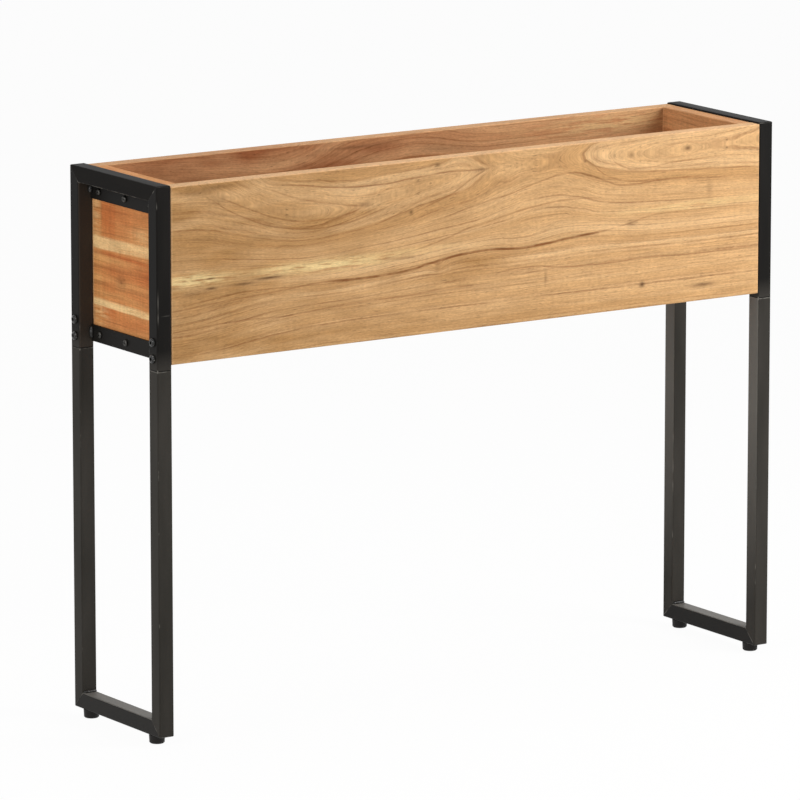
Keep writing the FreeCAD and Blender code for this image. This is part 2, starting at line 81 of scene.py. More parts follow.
def add(tree, kind, inputs=None, **settings):
    """Adds one node. An input is a number, a colour, a socket, or a node whose first output is meant."""
    made = tree.nodes.new("ShaderNode" + kind)
    for name, value in settings.items():
        setattr(made, name, value)
    for key, value in (inputs or {}).items():
        if isinstance(value, bpy.types.Node):
            value = next(out for out in value.outputs if out.enabled)
        if isinstance(value, bpy.types.NodeSocket):
            tree.links.new(value, made.inputs[key])
        else:
            made.inputs[key].default_value = value
    return made


def start_finish(name):
    """A new material, its empty node tree, and Object coordinates in millimetres."""
    material = bpy.data.materials.new(name)
    material.use_nodes = True
    tree = material.node_tree
    tree.nodes.clear()
    spot = add(tree, "TexCoord").outputs["Object"]
    return material, tree, add(tree, "VectorMath", {0: spot, "Scale": 1 / MM}, operation="SCALE")


print("Mid grey in linear light:", [round(c, 3) for c in linear("#808080")])

# %% [markdown]
# The camera stands where the photograph was taken from: about 33 degrees round to the left and 11 degrees
# up, far away with a long lens, which keeps the legs almost parallel. Its place came from solving a camera
# against the planter's known length, depth and height, so nothing has to be shifted or turned by eye.

# %% Camera
YAW, PITCH = math.radians(33.329), math.radians(11.280)
CAMERA_AT, CAMERA_REACH = (-4.6765, -7.0496, 2.0456), 100
FOCAL_PIXELS, IMAGE_PIXELS, SENSOR_MM = 6995.1, 800, 36.0

camera = bpy.data.objects.new("camera", bpy.data.cameras.new("camera"))
camera.data.sensor_width = SENSOR_MM
camera.data.lens = FOCAL_PIXELS * SENSOR_MM / IMAGE_PIXELS
camera.data.clip_end = CAMERA_REACH
camera.location = CAMERA_AT
camera.rotation_euler = (math.pi / 2 - PITCH, 0, -YAW)
bpy.context.scene.collection.objects.link(camera)
bpy.context.scene.camera = camera
bpy.context.scene.view_settings.view_transform = "Standard"
print("Lens in mm:", round(camera.data.lens, 1))

# %% [markdown]
# A catalogue photograph is all white around the object. A plain white world would give that, but it would
# also flood the planter with light. So the world is white only where the camera or a reflection looks at
# it, at a strength of one, which is exactly white. Everything else sees a dim room.

# %% White surroundings
ROOM_LIGHT = 0.34


def white_when_seen(tree, share):
    """A factor of that share for camera, glossy and transmission rays, and of none for the rest."""
    rays = add(tree, "LightPath").outputs
    seen = add(tree, "Math", {0: rays["Is Camera Ray"], 1: rays["Is Glossy Ray"]}, operation="ADD")
    seen = add(tree, "Math", {0: seen, 1: rays["Is Transmission Ray"]}, operation="MAXIMUM")
    return add(tree, "Math", {0: seen, 1: share}, operation="MULTIPLY", use_clamp=True)


world = bpy.context.scene.world or bpy.data.worlds.new("studio")
bpy.context.scene.world = world
world.use_nodes = True
tree = world.node_tree
tree.nodes.clear()
dim = add(tree, "Background", {"Color": (1, 1, 1, 1), "Strength": ROOM_LIGHT})
white = add(tree, "Background", {"Color": (1, 1, 1, 1), "Strength": 1.0})
both = add(tree, "MixShader", {0: white_when_seen(tree, 1.0), 1: dim, 2: white})
add(tree, "OutputWorld", {"Surface": both})
print("Light of the room:", ROOM_LIGHT)

# %% [markdown]
# The planter stands on white paper, which is made in the same way: white to the eye, and an ordinary pale
# floor to the light. A few parts in a hundred stay matt paper to the eye too, so that a soft shadow shows.

# %% Paper floor
FLOOR_WHITE = 0.96
FLOOR_SIZE = 80

# Matt paper has no shine at all, so nothing is mirrored in it and only the shadow shows.
paper, tree, _ = start_finish("white_paper_floor")
matt = add(tree, "BsdfDiffuse", {"Color": linear("#F4F4F2")})
glow = add(tree, "Emission", {"Color": (1, 1, 1, 1), "Strength": 1.0})
both = add(tree, "MixShader", {0: white_when_seen(tree, FLOOR_WHITE), 1: matt, 2: glow})
add(tree, "OutputMaterial", {"Surface": both})

sheet = bmesh.new()
bmesh.ops.create_grid(sheet, x_segments=1, y_segments=1, size=FLOOR_SIZE / 2)
floor = bpy.data.objects.new("floor", bpy.data.meshes.new("floor"))
sheet.to_mesh(floor.data)
sheet.free()
floor.data.materials.append(paper)
bpy.context.scene.collection.objects.link(floor)
print("Floor side in metres:", FLOOR_SIZE)

# %% [markdown]
# Three soft boxes light it. The large one stands close on the right, so the front board is brightest at
# its right end, as in the photograph. A second one on the left picks out the end board and the tubes'
# left faces, and one overhead lights the boards' top edges. Their levels keep a colour about as written.

# %% Soft boxes
# Each has its place and aim, the side of its square in metres, and its watts.
SOFT_BOXES = {
    "right_front": ((1.35, -1.45, 1.25), (0.25, 0.0, 0.50), 1.0, 33),
    "left": ((-2.3, -0.7, 1.3), (-0.40, 0.0, 0.45), 1.2, 18),
    "overhead": ((0.1, 0.1, 2.4), (0.0, 0.0, 0.6), 1.6, 14),
}
for name, (spot, aim, size, watts) in SOFT_BOXES.items():
    lamp = bpy.data.objects.new(name, bpy.data.lights.new(name, "AREA"))
    lamp.data.energy = watts
    lamp.data.size = size
    lamp.location = spot
    lamp.rotation_euler = (Vector(aim) - Vector(spot)).to_track_quat("-Z", "Y").to_euler()
    bpy.context.scene.collection.objects.link(lamp)
print("Lamps in watts:", {name: watts for name, (*_, watts) in SOFT_BOXES.items()})

# %% [markdown]
# ## Acacia boards
# Acacia is sawn through the log, so a board's face cuts the growth rings at a slant and shows nested
# tongues, called cathedrals. An image would give that, but a pattern made of nodes stays sharp and reads
# the board's own millimetres. Three helpers draw with nodes: a smooth line along the board, soft oval
# patches, and noise that is stretched into streaks.

# %% Lines, patches and streaks
STREAK_ROUGHNESS = 0.55


def line_along(tree, along, points):
    """A smooth line through points of millimetres along the board and a value there."""
    spots, values = zip(*points)
    low, span = min(values), max(max(values) - min(values), 1.0)
    share = add(tree, "MapRange", {"Value": along, "From Min": spots[0], "From Max": spots[-1]})
    drawn = add(tree, "FloatCurve", {"Value": share})
    line = drawn.mapping.curves[0].points
    marks = [((x - spots[0]) / (spots[-1] - spots[0]), (v - low) / span) for x, v in points]
    line[0].location, line[1].location = marks[0], marks[-1]
    for mark in marks[1:-1]:
        line.new(*mark)
    drawn.mapping.update()
    return add(tree, "MapRange", {"Value": drawn, "To Min": low, "To Max": low + span})


def patches(tree, place, spots, total=0.0):
    """Adds up soft oval patches: along, up, half-length, half-height and strength."""
    for along, up, length, height, strength in spots:
        away = add(tree, "VectorMath", {0: place, 1: (1 / length, 0, 1 / height),
                                        2: (-along / length, 0, -up / height)}, operation="MULTIPLY_ADD")
        near = add(tree, "VectorMath", {0: away, 1: away}, operation="DOT_PRODUCT")
        soft = add(tree, "Math", {0: math.exp(-1), 1: near}, operation="POWER")
        total = add(tree, "Math", {0: soft, 1: strength, 2: total}, operation="MULTIPLY_ADD")
    return total


def streaks(tree, place, spacing, detail=2.0):
    """Noise from 0 to 1 whose lumps measure about that many millimetres each way."""
    scaled = add(tree, "VectorMath", {0: place, 1: [1 / mm for mm in spacing]}, operation="MULTIPLY")
    return add(tree, "TexNoise", {"Vector": scaled, "Scale": 1.0, "Detail": detail,
                                  "Roughness": STREAK_ROUGHNESS})


print("Roughness of the streaks:", STREAK_ROUGHNESS)

# %% [markdown]
# A ring's level is worked out at every point of the wood. It falls away above and below a crest line, sags
# where the photograph's veins sag, and rises over humps. Points of one level make one vein, as the lines on
# a map do. Two slow noises keep those lines from being too smooth.

# %% The level of the growth rings
SAG_FROM, SAG_WHOLE = 535.0, 612.0
WOBBLE = ((140, 60, 26), 5.0)
RIPPLE = ((38, 12, 6), 2.0)
LEAN = 0.35
CREST_LEVEL = 657.0 + (WOBBLE[1] + RIPPLE[1]) / 2


def growth_rings(tree, place, board):
    """The ring level in millimetres: veins run along points of one level."""
    along, depth, up = add(tree, "SeparateXYZ", {0: place}).outputs
    top, dip, bend = (line_along(tree, along, board[line]) for line in ("crest", "sag", "bend"))
    away = add(tree, "Math", {0: up, 1: top}, operation="SUBTRACT")
    bend = add(tree, "Math", {0: bend, 1: bend}, operation="MULTIPLY")
    fold = add(tree, "Math", {0: away, 1: away, 2: bend}, operation="MULTIPLY_ADD")
    fold = add(tree, "Math", {0: fold}, operation="SQRT")
    level = add(tree, "Math", {0: top, 1: fold}, operation="SUBTRACT")
    share = add(tree, "MapRange", {"Value": up, "From Min": SAG_FROM, "From Max": SAG_WHOLE},
                interpolation_type="SMOOTHSTEP")
    level = add(tree, "Math", {0: dip, 1: share, 2: level}, operation="MULTIPLY_ADD")
    level = add(tree, "Math", {0: depth, 1: LEAN, 2: level}, operation="MULTIPLY_ADD")
    level = patches(tree, place, board["humps"], level)
    for spacing, height in (WOBBLE, RIPPLE):
        level = add(tree, "Math", {0: streaks(tree, place, spacing), 1: height, 2: level},
                    operation="MULTIPLY_ADD")
    return add(tree, "Math", {0: level, 1: CREST_LEVEL}, operation="SUBTRACT")


print("Ring level is zero near a height of", CREST_LEVEL, "mm")

# %% [markdown]
# Heartwood isn't one colour. Noise of one dimension, read along the ring level, makes broad bands of honey
# and brown that follow every tongue, and a slow noise blushes parts of the board. Some patches are calm:
# there the saw cut almost along a ring, and the wood is plain.

# %% Bands and blushes of the heartwood
BAND_MM, CALM_BAND = 24.0, 0.55
TONE = (130, 60, 28)


def heartwood(tree, at, calm, board):
    """The colour between the veins."""
    level = add(tree, "Math", {0: at["rings"], 1: BAND_MM}, operation="DIVIDE")
    bands = add(tree, "TexNoise", {"W": level, "Scale": 1.0, "Detail": 2.0}, noise_dimensions="1D")
    share = add(tree, "MapRange", {"Value": bands, "From Min": 0.32, "From Max": 0.68})
    share = add(tree, "Mix", {0: calm, 2: CALM_BAND, 3: share})
    colour = add(tree, "Mix", {0: share, 6: linear(board["brown"]), 7: linear(board["pale"])},
                 data_type="RGBA")
    tone = streaks(tree, at["place"], TONE)
    tone = add(tree, "MapRange", {"Value": tone, "From Min": 0.35, "From Max": 0.65})
    tone = add(tree, "Math", {0: tone, 1: line_along(tree, at["along"], board["rosy"]),
                              2: patches(tree, at["place"], board["blush"])},
               operation="MULTIPLY_ADD", use_clamp=True)
    return add(tree, "Mix", {0: tone, 6: colour, 7: linear(board["rose"])}, data_type="RGBA")


print("Spacing of the bands in mm:", BAND_MM)

# %% [markdown]
# Bands and lines that belong to one ring are stops on a chart, a colour ramp over the ring level. Each is
# sharp on one side and soft on the other, as a ring is. The few veins that the eye remembers wander off
# their ring, so those are drawn as smooth lines through chosen points, which fade out at both ends.

# %% The ring chart and the main veins
CHART_LOW, CHART_HIGH = -200.0, 60.0
ROW_RISE, ROW_FALL = 1.3, 3.4
VEIN_FADE, VEIN_BLUR = 30.0, 0.7
VEIN = "#733F18"


def ring_chart(tree, rings, rows):
    """A ramp over the ring level with rows of lowest and highest level, colour and strength."""
    share = add(tree, "MapRange", {"Value": rings, "From Min": CHART_LOW, "From Max": CHART_HIGH})
    chart = add(tree, "ValToRGB", {"Fac": share})
    stops = chart.color_ramp.elements
    for low, high, colour, strength in rows:
        marks = [(low - ROW_RISE, 0.0), (low, strength), (high + ROW_FALL, 0.0)]
        if high > low:
            marks.insert(2, (high, strength))
        for level, alpha in marks:
            stop = stops.new((level - CHART_LOW) / (CHART_HIGH - CHART_LOW))
            stop.color = linear(colour)[:3] + [alpha]
    for stop in (stops[0], stops[len(stops) - 1]):
        stop.color = linear(VEIN)[:3] + [0.0]
    return chart


def main_vein(tree, at, strength, half_wide, points):
    """The factor of one dark vein: a smooth line through points, which fades out at both ends."""
    line = line_along(tree, at["along"], points)
    away = add(tree, "Math", {0: at["up"], 1: line}, operation="SUBTRACT")
    away = add(tree, "Math", {0: away}, operation="ABSOLUTE")
    near = add(tree, "MapRange", {"Value": away, "From Min": half_wide + VEIN_BLUR,
                                  "From Max": half_wide - VEIN_BLUR, "To Max": strength})
    for spot, inwards in ((points[0][0], VEIN_FADE), (points[-1][0], -VEIN_FADE)):
        end = add(tree, "MapRange", {"Value": at["along"], "From Min": spot, "From Max": spot + inwards})
        near = add(tree, "Math", {0: near, 1: end}, operation="MULTIPLY")
    return near


print("Ring levels on the chart in mm:", CHART_LOW, "to", CHART_HIGH)

# %% [markdown]
# Thin dark lines follow the rings too. They fade and break, because the saw opens a ring's pores only here
# and there, and the chart's rows break with them. The main veins only wane slowly. Where the chart's rows
# and the main veins lie is handed on, because the surface is a little lower there.

# %% Thin lines and all the veins
LINE_MM = 3.6
DASH = (10, 2.0, 2.4)
FADE = (110, 40, 14)
WANE = (26, 10, 12)


def veined(tree, at, calm, colour, board):
    """A colour with its lines and veins drawn on, and a factor of the chart's rows and the main veins."""
    fade = add(tree, "MapRange", {"Value": streaks(tree, at["place"], FADE), "From Min": 0.38,
                                  "From Max": 0.60, "To Min": board["steady"]})
    dash = add(tree, "MapRange", {"Value": streaks(tree, at["grainwise"], DASH), "From Min": 0.34,
                                  "From Max": 0.56, "To Min": 0.2 + board["steady"], "To Max": 1.15})
    fade = add(tree, "Math", {0: fade, 1: dash}, operation="MULTIPLY", use_clamp=True)
    fade = add(tree, "Math", {0: fade, 1: calm}, operation="MULTIPLY")
    level = add(tree, "Math", {0: at["rings"], 1: LINE_MM}, operation="DIVIDE")
    thin = add(tree, "TexNoise", {"W": level, "Scale": 1.0, "Detail": 2.0}, noise_dimensions="1D")
    thin = add(tree, "MapRange", {"Value": thin, "From Min": 0.47, "From Max": 0.33,
                                  "To Max": board["lines"]})
    thin = add(tree, "Math", {0: thin, 1: fade}, operation="MULTIPLY")
    colour = add(tree, "Mix", {0: thin, 6: colour, 7: linear(board["vein"])}, data_type="RGBA")

    chart = ring_chart(tree, at["rings"], board["chart"])
    drawn = add(tree, "Math", {0: chart.outputs["Alpha"], 1: fade}, operation="MULTIPLY")
    colour = add(tree, "Mix", {0: drawn, 6: colour, 7: chart}, data_type="RGBA")

    waning = add(tree, "MapRange", {"Value": streaks(tree, at["place"], WANE), "From Min": 0.36,
                                    "From Max": 0.58, "To Min": 0.5})
    for strength, half_wide, points in board["veins"]:
        vein = main_vein(tree, at, strength, half_wide, points)
        vein = add(tree, "Math", {0: vein, 1: waning}, operation="MULTIPLY")
        colour = add(tree, "Mix", {0: vein, 6: colour, 7: linear(VEIN)}, data_type="RGBA")
        drawn = add(tree, "Math", {0: drawn, 1: vein}, operation="MAXIMUM")
    return colour, drawn


print("Spacing of the thin lines in mm:", LINE_MM)

# %% [markdown]
# Over all this go the flaws that make one board unlike the next: ragged pale sapwood, dark knots and
# specks. Sapwood and knots are soft patches, and a coarse noise frays the sapwood. The ends and top edges
# get a painted highlight where light catches their eased edges, found by their distance to the end or top.

# %% Sapwood, knots and painted edge highlights
BOARD_TOP = box("front_board")[1][2]
RAGGED = (40, 12, 4)
# The first colour is a painted highlight for the boards' ends and top edges, the second a knot's.
LIT_EDGE, KNOT = "#E3B585", "#4A2C19"
KNOT_SHARE, END_GLINT_SHARE = 0.85, 0.4
# How far from an end, and from the top, the painted highlight on an edge starts and is whole
END_GLINT, TOP_GLINT = (2.4, 0.8), (1.4, 0.6)


def marked(tree, at, colour, board):
    """A colour with the board's sapwood, knots, and a painted highlight on its ends and top edge."""
    ragged = add(tree, "MapRange", {"Value": streaks(tree, at["place"], RAGGED, 3.0), "From Min": 0.38,
                                    "From Max": 0.52})
    sap = patches(tree, at["place"], board["sapwood"])
    sap = add(tree, "Math", {0: sap, 1: ragged}, operation="MULTIPLY", use_clamp=True)
    dark = patches(tree, at["place"], board["marks"])
    dark = add(tree, "Math", {0: dark, 1: KNOT_SHARE}, operation="MULTIPLY", use_clamp=True)
    # The ends and the top rim get a painted highlight, where the light catches their eased edges.
    ends = add(tree, "Math", {0: at["along"]}, operation="ABSOLUTE")
    ends = add(tree, "MapRange", {"Value": ends, "From Min": board["half"] - END_GLINT[0],
                                  "From Max": board["half"] - END_GLINT[1], "To Max": END_GLINT_SHARE})
    rim = add(tree, "MapRange", {"Value": at["up"], "From Min": BOARD_TOP - TOP_GLINT[0],
                                 "From Max": BOARD_TOP - TOP_GLINT[1], "To Max": board["rim"]})
    ends = add(tree, "Math", {0: ends, 1: rim}, operation="MAXIMUM")
    for share, layer in ((sap, board["sap"]), (dark, KNOT), (ends, LIT_EDGE)):
        colour = add(tree, "Mix", {0: share, 6: colour, 7: linear(layer)}, data_type="RGBA")
    return colour


print("The boards' top edges lie at a height of", BOARD_TOP, "mm")

# %% [markdown]
# Fibres and pores run with the rings. Real pores are a tenth of a millimetre wide, too fine to show here,
# so they are drawn about a millimetre wide. Specks, a mottle and faint upright saw stripes go over them.
# Each lightens or darkens the colour a little, and fibres and veins dent the surface, so it isn't flat.

# %% The oiled finish
FIBRE = (46, 1.8, 1.3)
PORE = (12, 2.0, 1.0)
SPECK, SPECK_REACH = (5, 2.0, 1.5), 0.12
MOTTLE, MOTTLE_REACH = (50, 30, 10), 0.08
SAW = (6.0, 2.0, 50)
USUAL = {"From Min": 0.3, "From Max": 0.7}
WOOD_SHINE = 0.12


def acacia(name, turn, face, board):
    """Oiled, sanded acacia: a warm satin wood with little shine, whose veins are a little lower."""
    material, tree, place = start_finish(name)
    place = add(tree, "Mapping", {"Vector": place, "Rotation": (0, 0, turn), "Location": (0, -face, 0)})
    along, depth, up = add(tree, "SeparateXYZ", {0: place}).outputs
    rings = growth_rings(tree, place, board)
    grainwise = add(tree, "CombineXYZ", {0: along, 1: depth, 2: rings})
    at = {"place": place, "along": along, "up": up, "rings": rings, "grainwise": grainwise}
    calm = patches(tree, place, board["calm"])
    calm = add(tree, "Math", {0: 1.0, 1: calm}, operation="SUBTRACT", use_clamp=True)
    colour = heartwood(tree, at, calm, board)
    colour, drawn = veined(tree, at, calm, colour, board)
    colour = marked(tree, at, colour, board)

    fibre = streaks(tree, grainwise, FIBRE, 3.0)
    pore = add(tree, "MapRange", {"Value": streaks(tree, grainwise, PORE), "From Min": 0.39,
                                  "From Max": 0.28, "To Max": board["pores"]})
    grain = add(tree, "MapRange", {"Value": fibre, **USUAL, "To Min": 0.82, "To Max": 1.12})
    grain = add(tree, "Math", {0: grain, 1: pore}, operation="SUBTRACT")
    speck = streaks(tree, grainwise, SPECK)
    mottle = streaks(tree, place, MOTTLE, 3.0)
    stripes = streaks(tree, place, SAW)
    for pattern, reach in ((speck, SPECK_REACH), (mottle, MOTTLE_REACH), (stripes, board["saw"])):
        shade = add(tree, "MapRange", {"Value": pattern, **USUAL, "To Min": 1 - reach, "To Max": 1 + reach})
        grain = add(tree, "Math", {0: grain, 1: shade}, operation="MULTIPLY")
    colour = add(tree, "Mix", {0: 1.0, 6: colour, 7: grain}, data_type="RGBA", blend_type="MULTIPLY")

    height = add(tree, "Math", {0: fibre, 1: drawn}, operation="SUBTRACT")
    bump = add(tree, "Bump", {"Height": height, "Strength": 0.25, "Distance": 0.4 * MM})
    rough = add(tree, "MapRange", {"Value": fibre, **USUAL, "To Min": 0.68, "To Max": 0.54})
    wood = add(tree, "BsdfPrincipled", {"Base Color": colour, "Roughness": rough, "Normal": bump,
                                        "Specular IOR Level": WOOD_SHINE})
    add(tree, "OutputMaterial", {"Surface": wood})
    return material


print("Widths in mm of a fibre:", FIBRE[2], "and a pore:", PORE[2])

# %% [markdown]
# The front board repeats what the photograph shows: two tongues that point right, a loop round two knots
# at the right end, a pale streak at the left and the dark vein across its middle. A board is written down
# as a forester would sketch it. Its lines are points along it: the crest and its sag, how softly the crest
# is bent, and how rosy the wood is. Humps, calm, sapwood, marks and blush are patches, and each has its
# place along and up the board, its half-length, half-height and strength.

# %% The front board
BOARD_HALF = box("front_board")[1][0]
SAPWOOD = "#E6C88F"
FRONT_BOARD = {
    "crest": [(-430, 684), (-340, 655), (-310, 644), (-270, 633), (-230, 629), (-190, 630), (-158, 633),
              (-130, 637), (-100, 641), (-50, 650), (0, 658), (110, 660), (170, 662), (203, 660), (260, 657),
              (320, 657), (430, 660)],
    "sag": [(-430, 31), (-390, 33), (-350, 41), (-310, 51), (-270, 62), (-240, 66), (-200, 61), (-158, 53),
            (-100, 42), (-50, 30), (0, 22), (50, 9), (110, 0), (150, 5), (200, 18), (260, 24), (340, 28),
            (430, 32)],
    "bend": [(-430, 8), (-200, 6), (-60, 4), (10, 3), (90, 6), (150, 13), (220, 14), (430, 8)],
    "humps": [(-430, 505, 130, 60, 30), (-200, 545, 110, 30, 16), (-130, 636, 80, 20, -6),
              (20, 658, 60, 20, -15), (110, 660, 40, 16, -3), (295, 657, 60, 16, 12), (75, 572, 35, 16, 6),
              (0, 562, 50, 18, -5), (180, 567, 50, 18, -6), (320, 658, 12, 7, 3), (-50, 544, 12, 7, 7)],
    "calm": [(55, 658, 40, 14, 0.9), (90, 674, 45, 7, 1.0), (-60, 652, 50, 9, 0.9), (-215, 635, 80, 13, 1.0),
             (-310, 655, 70, 18, 0.8), (330, 658, 75, 11, 0.8), (245, 656, 32, 10, 0.9)],
    # Lowest and highest ring level, colour and strength
    "chart": [(18, 18, VEIN, 0.45), (3.5, 3.5, VEIN, 0.45), (-13, -13, VEIN, 0.45), (-42, -42, VEIN, 0.3),
              (-108, -108, VEIN, 0.25), (-130, -130, VEIN, 0.25), (-160, -160, VEIN, 0.3)],
    # Strength, half-width and points: the long vein across the middle in three lengths, then the rest
    "veins": [
        (0.45, 1.0, [(-460, 525), (-390, 531), (-331, 535), (-272, 539), (-213, 543), (-140, 543)]),
        (0.85, 1.4, [(-215, 543), (-154, 542), (-125, 543), (-95, 545), (-66, 550), (-36, 555), (-7, 558),
                     (22, 559), (66, 557), (111, 559), (140, 562), (200, 566)]),
        (0.40, 0.9, [(150, 562), (185, 565), (228, 571), (287, 580), (350, 580), (430, 578)]),
        (0.60, 0.9, [(-290, 668), (-242, 662.5), (-213, 658), (-184, 655), (-154, 654), (-125, 654),
                     (-95, 657), (-66, 658.5), (-36, 660.5), (-7, 659.5), (30, 659)]),
        (0.40, 0.9, [(-240, 594), (-184, 600), (-154, 603.5), (-125, 610.5), (-95, 621.5), (-60, 636)]),
        (0.50, 0.9, [(-90, 614), (-66, 621.5), (-36, 631), (-20, 639), (0, 650), (18, 658), (34, 664)]),
        (0.50, 0.9, [(-60, 600), (-7, 613.5), (22, 619.5), (52, 624.5), (81, 632), (111, 639), (140, 643),
                     (170, 637.5), (199, 627), (228, 620), (287, 622), (350, 621)]),
        (0.45, 0.9, [(-150, 560), (-80, 570), (-36, 580), (-7, 588.5), (22, 593.5), (52, 600), (90, 606),
                     (140, 610), (200, 606)]),
        (0.50, 0.9, [(30, 526), (81, 532), (111, 529.5), (140, 526.5), (199, 525), (258, 526.5),
                     (317, 524.5), (376, 524), (460, 526)]),
        (0.45, 0.9, [(-460, 500), (-390, 505), (-331, 508), (-272, 507), (-213, 511), (-154, 513.5),
                     (-95, 514.5), (-36, 517.5), (40, 517)]),
        (0.45, 0.9, [(-395, 668), (-373, 657), (-351, 643), (-323, 630), (-291, 618), (-259, 612),
                     (-222, 609), (-185, 611.5), (-142, 621), (-105, 632)]),
        (0.40, 0.9, [(-310, 669), (-291, 662), (-259, 650), (-231, 642.5), (-203, 637), (-166, 631),
                     (-140, 629)]),
        (0.50, 0.9, [(-370, 662), (-355, 656), (-332, 646), (-309, 636.5), (-282, 627), (-250, 620),
                     (-213, 619), (-185, 622), (-160, 628), (-140, 632)]),
        (0.45, 0.9, [(160, 690), (173, 666), (177, 652), (189, 640), (207, 630.5), (233, 624.5),
                     (266, 622.5), (290, 622)]),
        (0.40, 0.9, [(185, 690), (200, 669), (204, 657), (217, 646), (238, 639), (266, 639), (295, 642),
                     (328, 643), (380, 641)]),
    ],
    "sapwood": [(-405, 563, 50, 7, 1.4), (-185, 563, 60, 7, 1.0), (-262, 564, 50, 6, 0.8),
                (-80, 568, 60, 5, 0.3), (330, 586, 100, 5, 0.5)],
    "marks": [(320, 658, 5, 3, 0.9), (235, 657, 4, 3, 0.5), (165, 655, 2, 2, 0.5), (252, 493, 4, 3.5, 1.0),
              (345, 484, 18, 2.6, 0.8), (353, 604, 4, 9, 0.3), (107, 516, 2, 9, 0.4), (235, 571, 8, 4, 0.5),
              (-90, 616, 2.5, 2.5, 0.8), (-52, 670, 4, 2, 0.7), (-157, 632, 9, 3, 0.5),
              (12, 659, 6, 2.2, 0.5), (-52, 544, 6, 3, 0.3), (-292, 556, 18, 1.6, 1.0),
              (-330, 552, 14, 1.5, 0.8), (-375, 551, 8, 1.6, 0.9), (-375, 563, 6, 1.2, 0.8),
              (-400, 547, 16, 3, 0.35), (-400, 668, 24, 3.5, 0.35), (-360, 672, 24, 3, 0.35),
              (-364, 656, 14, 4, 0.22), (-104, 561, 22, 2.5, 0.3)],
    "rosy": [(-430, 0.9), (-150, 0.6), (100, 0.3), (430, 0.2)],
    "blush": [(-430, 600, 160, 120, 0.4), (-250, 478, 200, 14, 0.4), (150, 474, 250, 10, 0.4),
              (-25, 530, 50, 9, 0.6), (6, 546, 45, 8, 0.8), (-380, 676, 60, 6, 0.6), (-250, 612, 35, 7, 0.5),
              (-200, 615, 35, 7, 0.6), (-155, 621, 25, 6, 0.6)],
    "brown": "#C39663", "pale": "#DDB483", "rose": "#B08452", "vein": VEIN, "sap": SAPWOOD,
    # Half its length, how much shows of the rim's painted highlight, saw stripes, unbroken lines, thin lines,
    # pores
    "half": BOARD_HALF, "rim": 0.8, "saw": 0.03, "steady": 0.25, "lines": 0.5, "pores": 0.45,
}
print("Main veins on the front board:", len(FRONT_BOARD["veins"]))

# %% [markdown]
# The rear board is a redder one with a plainer figure, and the bottom board is cut from the same wood. The
# end boards' grain runs across the planter: two cream bands, and a small knot drawn as a dark ring with a
# paler ring inside it. Their saw stripes show more, because that face was only rough sanded.

# %% The other boards
CREAM, RED_VEIN = "#FFD79A", "#8A4B27"
REAR_BOARD = {
    "crest": [(-430, 760), (-200, 735), (60, 752), (430, 740)],
    "sag": [(-430, 6), (-230, 34), (0, 10), (180, 30), (430, 12)],
    "bend": [(-430, 7), (430, 7)],
    "humps": [(-120, 640, 120, 40, 20), (250, 600, 150, 50, -18)],
    "calm": [],
    "chart": [(-20, -20, VEIN, 0.5), (-48, -48, VEIN, 0.6), (-75, -75, VEIN, 0.5), (-118, -118, VEIN, 0.6),
              (-150, -150, VEIN, 0.5)],
    "veins": [
        (0.45, 1.0, [(-460, 620), (-340, 607), (-230, 591), (-120, 598), (0, 613), (90, 606), (180, 599),
                     (250, 611), (340, 616), (460, 609)]),
        (0.50, 1.0, [(-330, 577), (-230, 563), (-120, 572), (0, 582), (120, 579), (180, 577), (250, 583),
                     (340, 590), (460, 579)]),
        (0.45, 0.9, [(-460, 546), (-300, 544), (-230, 541), (-120, 544), (0, 545), (120, 547), (250, 551)]),
        (0.55, 1.1, [(-420, 506), (-300, 509), (-180, 505), (-60, 502), (60, 504), (180, 507)]),
        (0.40, 0.9, [(-100, 486), (50, 489), (200, 493), (320, 490), (460, 491)]),
    ],
    "sapwood": [(300, 520, 120, 8, 0.8), (330, 664, 120, 12, 0.5)],
    "marks": [(-60, 668, 40, 2, 0.5), (140, 570, 5, 4, 0.7), (-330, 655, 60, 14, 0.1), (80, 655, 40, 5, 0.3)],
    "rosy": [(-430, 0.35), (-340, 0.55), (-250, 0.95), (-130, 0.95), (0, 0.4), (430, 0.3)],
    "blush": [(-350, 668, 130, 40, 0.15), (-20, 664, 35, 9, 0.4), (60, 560, 300, 40, 0.2)],
    "brown": "#B47C50", "pale": "#CE9E70", "rose": "#985C37", "vein": VEIN, "sap": SAPWOOD,
    "half": BOARD_HALF, "rim": 0.4, "saw": 0.02, "steady": 0.25, "lines": 0.5, "pores": 0.45,
}
BOTTOM_BOARD = {**REAR_BOARD, "veins": []}
